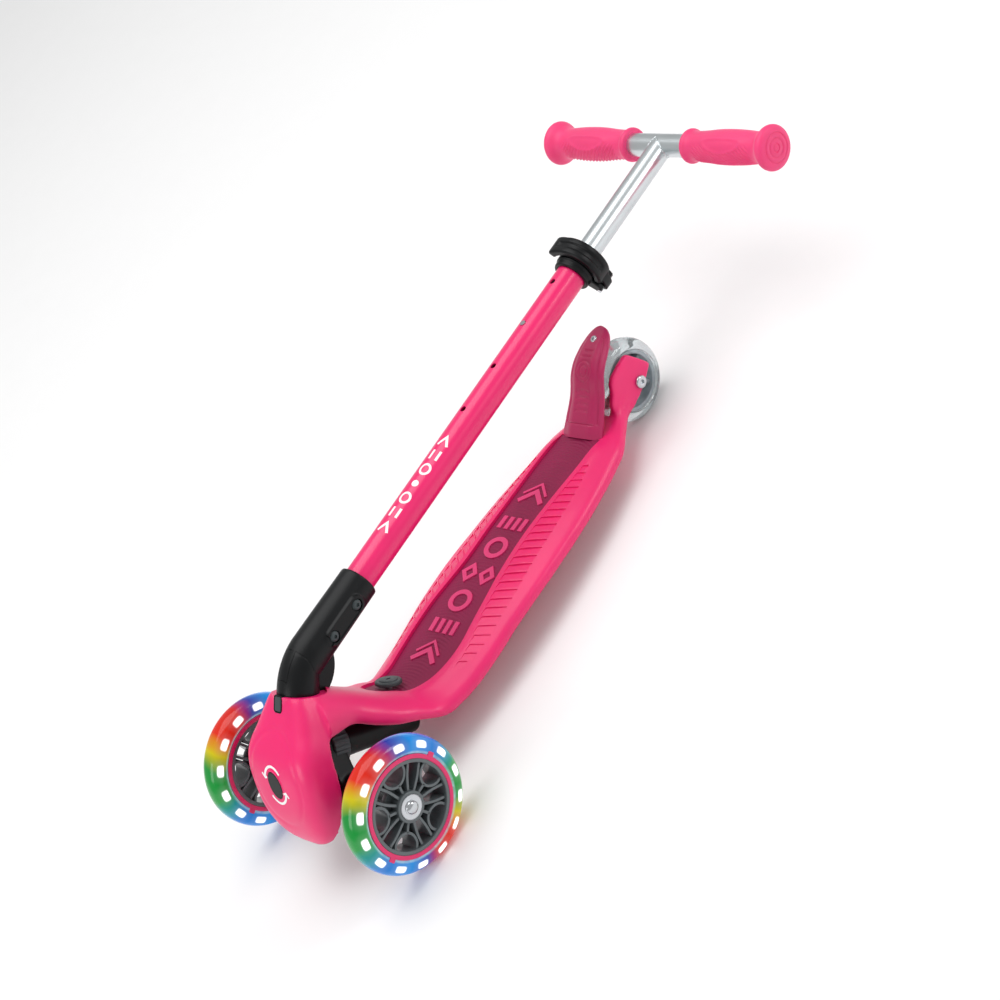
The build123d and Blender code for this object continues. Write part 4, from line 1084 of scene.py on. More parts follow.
    def build_buttons(self) -> None:
        """Bezels and marks round the two buttons of the shield."""
        tool = self.bench
        rim = Clay()
        ring = [(0, 9.2), (3.7, 9.2), (3.7, 9.9), (3.2, 10.3), (0, 10.4)]
        squeeze = Matrix.Scale(self.lock_stretch, 4, (0, 1, 0))
        rim.lathe(ring, Matrix.Identity(4), 96)
        seat = shifted(LOCK_FACE, -3.6) @ squeeze
        rim.nudge(lambda p: seat @ p)
        tool.place(rim.solid("lock_button_rim"), tool.finish.shell, Slot.BODY, body="deck")
        bezel = Clay().prism(rounded(11.2, 15.4, 3.0), shifted(RELEASE, -7), 8.4)
        piece = bezel.solid("release_bezel")
        cut(piece, Clay().prism(rounded(9.3, 13.3, 1.9), shifted(RELEASE, -9), 16))
        tool.place(piece, tool.finish.black, Slot.BLACK, body="deck", bevel=0.5)
        button = Clay().prism(rounded(9.0, 13.0, 2.2), shifted(RELEASE, -5), 6.5)
        tool.place(button.solid("release_button_top"), tool.finish.grey, Slot.GREY,
                   ["release_button"], bevel=1.0)
        oval = Clay().prism(circle(8.9, 64, stretch=13.2 / 8.9), shifted(LOCK_FACE, -9), 9.4)
        tool.place(oval.solid("steering_lock_cap"), tool.finish.black, Slot.BLACK,
                   ["steering_lock_button"], bevel=0.9)

    def build_marks(self, shell: bpy.types.Object) -> None:
        """Two white turning arrows printed round the steering lock."""
        clay = Clay()

        def printed(u: float, v: float, high: float) -> Vector:
            """Point on the shield under a place of the button's plane."""
            axle = Vector((0, Bench.front, 0))
            start = LOCK_FACE @ Vector((u, v, 30)) + axle
            way = LOCK_FACE.to_3x3() @ Vector((0, 0, -1))
            hit, point, normal, _ = shell.ray_cast(start * MM, way)
            if not hit:
                return LOCK_FACE @ Vector((u, v, 0))
            return point / MM - axle + normal * (0.12 if high > 0 else -0.3)

        for half in (0, 180):
            arc = []
            for step in range(25):
                turn = math.radians(half + 42 + 4.8 * step)
                arc.append((13.0 * math.cos(turn), 17.6 * math.sin(turn)))
            ribbon(clay, arc, 2.3, printed)
            end, before = Vector(arc[-1]), Vector(arc[-2])
            run = (end - before).normalized()
            over = Vector((-run.y, run.x))
            ribbon(clay, [tuple(end - run * 1.5 + over * 4.0), tuple(end + run * 1.6),
                          tuple(end - run * 1.5 - over * 4.0)], 2.0, printed)
        self.bench.place(clay.solid("lock_marks"), self.bench.finish.print, Slot.BODY, body="deck")

    def build(self) -> None:
        """Builds every piece of the deck."""
        shell = self.build_shell()
        self.build_ribs()
        self.build_mat()
        self.build_inlay()
        self.build_bolt_cap()
        self.build_buttons()
        self.build_marks(shell)
        finish = self.bench.finish
        self.bench.dress(finish.steel, Slot.STEEL, "deck_bolt", "kingpin", "kingpin_nut",
                         "hinge_pin", "rear_axle", "rear_axle_nut", "rear_washers", "brake_pin",
                         "brake_spring", "lock_bolt", "steering_lock_plunger")


# ---- steering ---------------------------------------------------------------------------------
@dataclass
class Truck:
    """Steering pivot, ribbed bushing and the crossbeam that carries the front wheels."""

    bench: Bench
    bushing_r: float = 19.0

    def build_bushing(self) -> None:
        """Elastomer bushing with ribs round it, between the arm and the truck."""
        rings = []
        count = 120
        for along, swell in ((-5.3, 0.93), (-4.3, 1.0), (-2.0, 1.0), (0.0, 1.0), (3.4, 1.0),
                             (6.8, 1.0), (9.4, 1.0), (11.2, 1.0), (12.0, 0.95)):
            ring = []
            for k in range(count):
                turn = 2 * math.pi * k / count
                ribbed = 0.55 * (1 + math.cos(turn * 30)) * ease(-5.2, -3, along)
                radius = (self.bushing_r - 0.9) * swell + ribbed * 0.8
                ring.append(steer_frame(along) @ Vector((radius * math.cos(turn),
                                                         radius * math.sin(turn), 0)))
            rings.append(ring)
        self.bench.place(Clay().loft(rings).solid("steering_bushing_ribbed"),
                         self.bench.finish.elastomer, Slot.ELASTOMER, ["steering_bushing"])

    def build_arm(self) -> None:
        """Black arm under the neck, a tapered barrel with a web and a boss."""
        arm = Clay().lathe([(-86, 5.2), (-86, 12.4), (-84.5, 13.8), (-80, 14.2), (-30, 14.0),
                            (-12, 14.2), (-5.4, 14.2), (-5.4, 5.2)], steer_frame(0), 56)
        arm.prism(circle(10.4), lift_frame(8, -65.5), 15.7)
        web = [(STEER_Y + 20, STEER_Z - 10), (STEER_Y + 52, STEER_Z - 35),
               (STEER_Y + 60, STEER_Z - 22), (STEER_Y + 30, STEER_Z + 3)]
        arm.prism(web, side_frame(-4), 8)
        piece = melted(arm.solid("pivot_arm_moulded"), 1.2, 4)
        cut(piece, Clay().prism(circle(5.3, 32), steer_frame(-90), 90))
        self.bench.place(piece, self.bench.finish.black, Slot.BLACK, ["pivot_arm"])

    def build_truck(self) -> None:
        """Crossbeam, hub and the tall web behind the shield, fused and softened."""
        beam_end = WHEEL_X - 12.3
        beam = Clay()
        axle = side_frame(0, 0, FRONT_R)
        beam.lathe([(-beam_end, 0), (-beam_end, 6.6), (-beam_end + 5, 8.4), (-beam_end + 13, 11.2),
                    (-60, 11.5), (60, 11.5), (beam_end - 13, 11.2), (beam_end - 5, 8.4),
                    (beam_end, 6.6), (beam_end, 0)], axle, 56, False)
        beam.lathe([(12.4, 0), (12.4, 17), (26, 17), (26, 0)], steer_frame(0), 48, False)
        web = mirrored([(24, -42), (31, -40), (34, -30), (30, -22), (17, 0), (0, 4)])
        beam.prism(web, steer_frame(0.4), 19.4)
        piece = melted(beam.solid("truck_moulded"), 1.2, 5)
        cut(piece, Clay().prism(circle(19.7), steer_frame(-2), 14.2))
        cut(piece, Clay().prism(circle(7.1), steer_frame(11), 20))
        for side in PAIR:
            cut(piece, Clay().prism(circle(4.0, 32), side_frame(side * (beam_end - 30), 0, FRONT_R),
                                    side * 40))
        self.bench.place(piece, self.bench.finish.black, Slot.BLACK, ["truck"])

    def build(self) -> None:
        """Builds every piece of the truck."""
        self.build_bushing()
        self.build_arm()
        self.build_truck()
        self.bench.dress(self.bench.finish.steel, Slot.STEEL, "truck_bush")


# ---- wheels -----------------------------------------------------------------------------------
@dataclass
class FrontWheel:
    """Lit front wheel: clear tyre, lamp ring, pink trim and a core with arches."""

    bench: Bench
    side: int
    arches: int = 5
    arch_at: float = 74.0
    rib: float = 2.5
    hub_r: float = 13.6
    rim_r: float = 37.8

    @property
    def name(self) -> str:
        """Left or right."""
        return SIDE_NAME[self.side]

    @property
    def axle(self) -> Matrix:
        """The wheel's middle plane."""
        return side_frame(self.side * WHEEL_X, 0, FRONT_R)

    def build_tyre(self) -> None:
        """Round-shouldered tyre with a fine moulding line and a step beside the rim."""
        half = [(0, 60.5), (3.2, 60.35), (6.4, 59.4), (9.2, 57.4), (11.0, 54.6), (11.9, 51.4),
                (12.0, 49.2), (11.5, 48.5), (11.5, 46.4), (11.2, 45.2), (6.2, 45.1), (6.1, 47.6),
                (0, 47.6)]
        tyre = Clay().lathe(both_faces(half), self.axle, 128).solid(f"{self.name}_tyre_cast")
        smoothed(tyre)
        self.bench.place(tyre, self.bench.finish.lit[self.side], Slot.CLEAR,
                         [f"{self.name}_tyre"], sharp=50)

    def rib_lines(self) -> list[list[tuple[float, float]]]:
        """Middle lines of the core's ribs, in the wheel's plane."""
        lines = []
        pitch = 360 / self.arches
        for k in range(self.arches):
            way = math.radians(self.arch_at + pitch * k)
            out = Vector((math.cos(way), math.sin(way)))
            over = Vector((-out.y, out.x))
            pocket = []
            for step in range(13):
                turn = math.radians(-92 + 184 * step / 12)
                wide = 10.6 * math.sin(turn) * (1 + 0.10 * abs(math.sin(turn)))
                pocket.append(tuple(out * (35.0 - 12.5 * math.cos(turn)) + over * wide))
            pocket[0] = tuple(out * 36.8 + over * -11.4)
            pocket[-1] = tuple(out * 36.8 + over * 11.4)
            lines.append(pocket)
            lines.append([tuple(out * (self.hub_r - 1)), tuple(out * 23.0)])
            for lean in PAIR:
                start = way + math.radians(pitch / 2 - lean * 13)
                end = way + math.radians(pitch / 2 - lean * 9)
                places = ((self.hub_r - 1, start), (26, start + lean * 0.02), (37.5, end))
                lines.append([(radius * math.cos(turn), radius * math.sin(turn))
                              for radius, turn in places])
        return lines

    def build_core(self) -> None:
        """Rim, hub and ribs of the core."""
        core = Clay()
        half = [(0, 44.9), (10.7, 44.9), (10.8, 41.4), (11.9, 41.1), (12.0, 40.6), (11.9, 38.4),
                (11.4, self.rim_r), (0, self.rim_r)]
        core.lathe(both_faces(half), self.axle, 96)
        hub = [(0, 14.0), (11.3, 14.0), (11.9, 13.4), (11.9, 11.2), (0, 11.2)]
        core.lathe(both_faces(hub), self.axle, 64)
        for line in self.rib_lines():
            core.prism(stroke(through(line, 3), self.rib),
                       shifted(self.axle, -9.6), 19.2)
        core.lathe([(-1.5, 13), (-1.5, 21), (1.5, 21), (1.5, 13)], self.axle, 64)
        self.bench.place(core.solid(f"{self.name}_core_ribbed"), self.bench.finish.core, Slot.CORE,
                         [f"{self.name}_core"], bevel=0.45)

    def build_trim(self) -> None:
        """Pink trim ring on each face, with two square tabs over the tyre."""
        trim = Clay()
        for face in PAIR:
            plane = shifted(self.axle, face * 11.0)
            ring = [(0, 41.3), (face * 0.8, 41.3), (face * 1.0, 41.7), (face * 1.0, 44.6),
                    (face * 0.8, 45.2), (0, 45.2)]
            trim.lathe(ring, plane, 96)
            for turn in (18, 198):
                tab = plane @ Matrix.Rotation(math.radians(turn), 4, "Z")
                trim.prism(rounded(5.0, 6.0, 0.8, x=46.2), tab, face * 1.1)
        self.bench.place(trim.solid(f"{self.name}_trim"), self.bench.finish.trim, Slot.BODY,
                         [f"{self.name}_trim_rings"], bevel=0.2)

    def build_bearing_shields(self) -> None:
        """Pressed shields on the outer faces of the two bearings."""
        shields = Clay()
        for face in PAIR:
            plane = shifted(self.axle, face * 11.9)
            rings = [(face * -0.9, 4.3), (face * -0.9, 8.4), (face * 0.0, 9.0), (face * 0.1, 10.7),
                     (0, 11.0), (face * -1.6, 11.0), (face * -1.6, 4.3)]
            shields.lathe(rings, plane, 64)
        self.bench.place(shields.solid(f"{self.name}_bearing_shields"), self.bench.finish.bearing,
                         Slot.STEEL, body=f"{self.name}_wheel")

    def build_bolt(self) -> None:
        """Domed head of the axle bolt with its flange and shank."""
        bolt = Clay()
        out = self.side
        profile = [(-34, 0), (-34, 3.9), (11.2, 3.9), (11.2, 6.6), (12.4, 6.8), (12.8, 6.0),
                   (13.6, 5.6), (14.8, 4.6), (15.6, 3.0), (15.9, 1.4), (15.9, 0)]
        bolt.lathe([(out * along, radius) for along, radius in profile], self.axle, 64, False)
        self.bench.place(bolt.solid(f"{self.name}_axle_bolt_turned"), self.bench.finish.steel,
                         Slot.STEEL, [f"{self.name}_axle_bolt"])

    def build(self) -> None:
        """Builds the wheel."""
        self.build_tyre()
        self.build_core()
        self.build_trim()
        self.build_bearing_shields()
        self.build_bolt()
        finish = self.bench.finish
        self.bench.dress(finish.band, Slot.BAND, f"{self.name}_light_band")
        self.bench.dress(finish.steel, Slot.STEEL, f"{self.name}_bearings",
                         f"{self.name}_spacer")


@dataclass
class RearWheel:
    """Small clear wheel in the rear fork."""

    bench: Bench
    spokes: int = 5

    def build(self) -> None:
        """Builds the tyre and the core and dresses the bearings."""
        axle = side_frame(0, WHEELBASE, REAR_R)
        half = [(0, 40.0), (3.4, 39.85), (6.6, 38.8), (9.4, 36.6), (11.2, 33.6), (11.9, 30.6),
                (11.6, 29.1), (0, 29.1)]
        tyre = Clay().lathe(both_faces(half), axle, 96).solid("rear_tyre_cast")
        smoothed(tyre)
        self.bench.place(tyre, self.bench.finish.clear, Slot.CLEAR, ["rear_tyre"], sharp=50)
        core = Clay()
        rim = [(0, 28.9), (10.8, 28.9), (11.0, 28.4), (11.0, 25.6), (10.6, 25.1), (0, 25.1)]
        hub = [(0, 13.4), (11.6, 13.4), (11.9, 12.9), (11.9, 11.1), (0, 11.1)]
        for ring in (rim, hub):
            core.lathe(both_faces(ring), axle, 72)
        for k in range(self.spokes):
            way = math.radians(20 + 360 / self.spokes * k)
            out = Vector((math.cos(way), math.sin(way)))
            over = Vector((-out.y, out.x))
            line = [tuple(out * 12.5), tuple(out * 18 + over * 1.2), tuple(out * 26)]
            core.prism(stroke(through(line, 3), 3.4), shifted(axle, -8), 16)
        core.lathe([(-1.4, 12.5), (-1.4, 26), (1.4, 26), (1.4, 12.5)], axle, 72)
        self.bench.place(core.solid("rear_core_ribbed"), self.bench.finish.clear_core, Slot.CORE,
                         ["rear_core"], bevel=0.4)
        self.bench.dress(self.bench.finish.steel, Slot.STEEL, "rear_bearings", "rear_spacer")


# ---- brake ------------------------------------------------------------------------------------
@dataclass
class Brake:
    """Step-on brake over the rear wheel, with pressed lines on its face."""

    bench: Bench
    thick: float = 3.6
    droop: float = 4.2

    # Distance back, height and half-width, from the foot to the tip.
    line = ((395.5, 47.0, 26.4), (400.5, 51.0, 26.2), (410.5, 58.0, 25.0), (426, 69.4, 23.0),
            (440, 83.4, 21.9), (452.8, 91.0, 20.8), (465.5, 94.7, 18.9), (475, 96.2, 16.0),
            (481.5, 97.1, 12.4), (485.2, 97.5, 8.6), (487.1, 97.8, 5.0), (487.9, 97.9, 1.5))

    def relief(self, x: float, run: float, half_width: float) -> float:
        """Depth of the pressed lines at a place of the lever's face.

        Args:
            x: Across from the middle.
            run: Millimetres from the lever's foot along its face.
            half_width: The lever's half-width there.

        Returns:
            How far the face is pressed in.
        """
        # Line that follows the edge and turns round the lever's foot.
        if run <= 14:
            edge = abs(math.hypot(max(0.0, abs(x) - (half_width - 12)), run - 20) - 6.6)
        elif run < 96:
            edge = abs(abs(x) - (half_width - 5.4))
        else:
            return 0.0
        depth = 0.55 * math.exp(-(edge / 0.75) ** 2)
        # Rings in the middle and bars before and behind them.
        if run < 84 and abs(x) < max(3.0, half_width - 5.2):
            for radius in (5.0, 9.0):
                away = math.hypot(x, (run - 62) * 0.9) - radius
                depth += 0.5 * math.exp(-(away / 0.7) ** 2)
            for foot in (26, 32, 38, 44):
                away = run - foot + 0.020 * x * x
                depth += 0.5 * math.exp(-(away / 0.8) ** 2) * ease(9.5, 7.5, abs(x))
            for foot in (76, 82):
                depth += 0.5 * math.exp(-((run - foot) / 0.8) ** 2) * ease(7.5, 6.0, abs(x))
        return depth

    def build(self) -> None:
        """Builds the lever and dresses its rivet."""
        centre = through(self.line, 16)
        across = 46
        rings = []
        run = 0.0
        for index, row in enumerate(centre):
            before, after = centre[max(index - 1, 0)], centre[min(index + 1, len(centre) - 1)]
            if index:
                run += math.hypot(row[0] - before[0], row[1] - before[1])
            way = Vector((after[0] - before[0], after[1] - before[1])).normalized()
            normal = Vector((0, -way.y, way.x))
            base = Vector((0, row[0], row[1]))
            width = max(row[2], 1.2)
            slim = min(1.0, width / 20) ** 2
            face, back = [], []
            for k in range(across + 1):
                share = 1 - 2 * k / across
                x = width * share
                droop = (self.droop * ease(0.35, 1.0, abs(share)) * slim
                         + 1.6 * (1 - math.sqrt(1 - min(1.0, abs(share)) ** 8)))
                high = -droop - 1.7 * self.relief(x, run, width)
                face.append(base + Vector((x, 0, 0)) + normal * high)
            for k in range(0, across + 1, 2):
                share = -1 + 2 * k / across
                x = width * share * 0.97
                under = self.thick + self.droop * ease(0.35, 1.0, abs(share)) * slim
                back.append(base + Vector((x, 0, 0)) - normal * under)
            rings.append(face + back)
        lever = Clay().loft(rings)
        lever.prism([(402.5, 36), (408, 34), (410.5, 37), (413, 51), (404, 47.5)], side_frame(-9.6),
                    19.2)
        piece = lever.solid("brake_lever_moulded")
        self.bench.place(piece, self.bench.finish.brake, Slot.BERRY, ["brake_lever"], sharp=50)
        self.bench.dress(self.bench.finish.steel, Slot.STEEL, "brake_rivet")


# ---- column -----------------------------------------------------------------------------------
@dataclass
class Column:
    """Elbow with its fold hinge, painted tube, clamp collar and quick-release lever."""

    bench: Bench
    sleeve_end: float = 146.7
    bolts: tuple[float, float] = (88.6, 122.7)
    elbow_r: float = 18.5
    disc_r: float = 35.0
    disc_t: float = 12.0
    bend_r: float = 52.0

    # Outlines in the tube's own plane: the collar's lugs and the lever's knuckle.
    lug = ((-13.5, -10.7), (-18.8, -18.4), (-19.2, -22.6), (-16.8, -26.0), (-12.6, -26.0),
           (-3.4, -17.0))
    knuckle = ((-17.0, -11.5), (-22.5, -13.0), (-21.2, -21.8), (-18.4, -28.0), (-15.5, -29.1),
               (-11.9, -27.4), (-10.9, -24.5), (-12.6, -20.9), (-15.5, -19.9))

    def outside_bend(self) -> Clay:
        """What lies outside the elbow's smooth bend, on its outer side."""
        leg = Vector((0, -1, -1)).normalized()
        tube = Vector((0, 1, 0))
        run = self.bend_r * math.tan(math.radians(22.5))
        centre = HINGE + tube * run - Vector((0, 0, self.bend_r))
        stations = [(HINGE + leg * (run + 30), Vector((0, -1, 1)).normalized())]
        for step in range(13):
            lean = math.radians(45 * (1 - step / 12))
            out = Vector((0, -math.sin(lean), math.cos(lean)))
            stations.append((centre + out * self.bend_r, out))
        stations.append((HINGE + tube * (run + 12), Vector((0, 0, 1))))
        rings = []
        for middle, out in stations:
            arc = [math.radians(-100 + 200 * k / 40) for k in range(41)]
            ways = [out * math.cos(t) + Vector((math.sin(t), 0, 0)) for t in arc]
            inner = [middle + way * (self.elbow_r - 0.08) for way in ways]
            outer = [middle + way * 40 for way in reversed(ways)]
            rings.append(inner + outer)
        return Clay().loft(rings)

    def build_sleeve(self) -> None:
        """Moving half of the elbow: sleeve, bolt pads and the web behind the bend."""
        sleeve = Clay()
        end = self.sleeve_end - 0.6
        sleeve.lathe([(HINGE.y, 0), (HINGE.y, self.elbow_r), (100, 18.1), (end, 17.6), (end, 0)],
                     tube_frame(0), 64, False)
        mid = sum(self.bolts) / 2
        long = self.bolts[1] - self.bolts[0]
        sleeve.prism(rounded(long + 16.5, 16.5, 8.2, 10, mid, TUBE_Z), side_frame(-18.9), 37.8)
        sleeve.prism(rounded(26, 23, 3, x=HINGE.y + 16, y=TUBE_Z), side_frame(-6), 12)
        piece = melted(sleeve.solid("fold_sleeve_moulded"), 0.9, 5)
        for side in PAIR:
            cut(piece, Clay().prism(rounded(40, 12.6, 6.2, 8, mid, TUBE_Z),
                                    side_frame(side * 18.35), side * 3))
        cut(piece, Clay().ball(HINGE, self.elbow_r + 0.3))
        cut(piece, Clay().prism(circle(TUBE_R + 0.1, 64), tube_frame(78), 80))
        for y in self.bolts:
            for side in PAIR:
                cut(piece, Clay().prism(circle(5.6, 40, y, TUBE_Z), side_frame(side * 16.9),
                                        side * 6))
        face = side_frame(-self.disc_t / 2)
        web = Clay().prism(hinge_fan(self.disc_r, -106, -8), face, self.disc_t)
        disc = Clay().prism(circle(self.elbow_r - 0.1, 64, HINGE.y, HINGE.z), face, self.disc_t)
        bridge = Clay().prism(rounded(20, 22, 2, x=HINGE.y + 15, y=HINGE.z),
                              side_frame(-self.disc_t / 2 + 0.02), self.disc_t - 0.04)
        cut(piece, web, disc, bridge, add=True)
        cut(piece, self.outside_bend())
        self.bench.place(piece, self.bench.finish.black, Slot.BLACK, ["fold_sleeve"], sharp=38)

    def build_base(self) -> None:
        """Fixed half of the elbow: lower leg and the two round cheeks."""
        plane = elbow_frame(SEAM)
        profile = [(0, 0), (0, 18.2), (0.4, self.elbow_r), (SEAM, self.elbow_r)]
        profile += [(SEAM + self.elbow_r * math.sin(math.radians(t)),
                     self.elbow_r * math.cos(math.radians(t))) for t in range(6, 91, 6)]
        base = Clay().lathe(profile, plane, 72, False).solid("hinge_base_moulded")
        slot = self.disc_t / 2 + 0.3
        cut(base, Clay().prism(circle(self.elbow_r + 0.25, 96, HINGE.y, HINGE.z),
                               side_frame(-slot), 2 * slot))
        cut(base, Clay().prism(hinge_fan(self.disc_r + 0.8, -114, 10), side_frame(-slot), 2 * slot))
        cut(base, self.outside_bend())
        self.bench.place(base, self.bench.finish.black, Slot.BLACK, ["hinge_base"], sharp=38)

    def build_bolts(self) -> None:
        """Domed screws in their recesses, with hex sockets."""
        screws = Clay()
        profile = [(0, 0), (0, 4.7), (0.9, 4.7), (1.7, 4.1), (2.3, 2.9), (2.45, 1.7), (1.0, 1.5),
                   (1.0, 0)]
        for y in self.bolts:
            for side in PAIR:
                plane = frame_at((side * 16.95, y, TUBE_Z), (0, 1, 0), (side, 0, 0))
                screws.lathe(profile, plane, 48, False)
        self.bench.place(screws.solid("sleeve_screws"), self.bench.finish.grey, Slot.GREY,
                         ["sleeve_bolts"])

    def build_marks(self) -> None:
        """Plain white bars, rings and chevrons printed along the tube."""
        clay = Clay()
        top = math.radians(72)

        def printed(u: float, v: float, high: float) -> Vector:
            """Point on the tube, u round it and v back."""
            turn = top - u / TUBE_R
            radius = TUBE_R + (0.1 if high > 0 else -0.3)
            return Vector((radius * math.cos(turn), v, TUBE_Z + radius * math.sin(turn)))

        def fine(line: Sequence[Sequence[float]]) -> list:
            """The same line with short runs."""
            points = []
            for a, b in zip(line, line[1:]):
                points += [tuple(Vector(a).lerp(Vector(b), k / 6)) for k in range(6)]
            return points + [tuple(line[-1])]

        for y in (196, 292):
            ribbon(clay, fine([(-5, y - 5), (0, y + 4), (5, y - 5)]), 2.4, printed)
        for y in (212, 276):
            for u in (-3.6, 3.6):
                ribbon(clay, fine([(u, y - 5), (u, y + 5)]), 2.4, printed)
        for y in (228, 260):
            ribbon(clay, [(4.6 * math.cos(t / 12 * math.pi), y + 5.2 * math.sin(t / 12 * math.pi))
                          for t in range(24)], 2.2, printed, True)
        ribbon(clay, [(1.7 * math.cos(t / 8 * math.pi), 244 + 1.7 * math.sin(t / 8 * math.pi))
                      for t in range(16)], 3.3, printed, True)
        self.bench.place(clay.solid("tube_marks"), self.bench.finish.print, Slot.TUBE,
                         body="steering_column")

    def build_collar(self) -> None:
        """Clamp collar round the tube's end: flange, barrel, slit and knuckle lugs."""
        collar = Clay()
        tube = tube_frame(0)
        collar.lathe([(495, 14.1), (495, 16.6), (496, 17.6), (500.4, 18.0), (501.4, 19.0),
                      (519.6, 19.0), (521, 17.8), (521, 14.1)], tube, 72)
        for start, end in ((500.6, 505.7), (516.3, 521.0)):
            collar.prism(self.lug, tube_frame(start), end - start)
        piece = melted(collar.solid("clamp_collar_moulded"), 0.6, 3)
        cut(piece, Clay().prism(rounded(1.6, 20, 0.3, y=-18), tube_frame(505.5), 30))
        cut(piece, Clay().prism(circle(TUBE_R + 0.06, 64), tube_frame(490), 15.05))
        cut(piece, Clay().prism(circle(11.07, 64), tube_frame(500), 40))
        self.bench.place(piece, self.bench.finish.black, Slot.BLACK, ["clamp_collar"], bevel=0.6)

    def build_lever(self) -> None:
        """C-shaped quick-release lever with a long groove in its face and a flared fingertip."""
        rings = []
        for step in range(61):
            angle = -50 + 184 * step / 60
            turn = math.radians(angle)
            flare = ease(92, 126, angle)
            start = ease(-52, -34, angle)
            tip = 3.4 * ease(124, 134, angle)
            inner = 20.1 + 1.6 * flare + 0.5 * tip
            outer = 25.4 + 1.6 * start + 2.6 * flare - 0.6 * tip
            low = 502.0 + 2.6 * (1 - start) - 0.6 * flare + tip
            high = 520.2 - 2.6 * (1 - start) + 0.6 * flare - tip
            mid = (low + high) / 2
            groove = 1.9 * ease(-14, -6, angle) * ease(112, 104, angle)
            section = [(inner + 0.8, low), (outer - 1.6, low), (outer, low + 1.6),
                       (outer, mid - 3.4), (outer - groove, mid - 2.4), (outer - groove, mid + 2.4),
                       (outer, mid + 3.4), (outer, high - 1.6), (outer - 1.6, high),
                       (inner + 0.8, high), (inner, high - 0.8), (inner, low + 0.8)]
            rings.append([Vector((r * math.cos(turn), y, TUBE_Z + r * math.sin(turn)))
                          for r, y in section])
        lever = Clay().loft(rings)
        lever.prism(through(self.knuckle, 3, closed=True), tube_frame(506.1), 9.8)
        self.bench.place(melted(lever.solid("clamp_lever_moulded"), 0.6, 6),
                         self.bench.finish.black, Slot.BLACK, ["clamp_lever"])

    def build(self) -> None:
        """Builds every piece of the column."""
        self.build_sleeve()
        self.build_base()
        self.build_bolts()
        self.build_marks()
        self.build_collar()
        self.build_lever()
        self.bench.dress(self.bench.finish.tube, Slot.TUBE, "lower_tube")
        self.bench.dress(self.bench.finish.steel, Slot.STEEL, "clamp_pin")


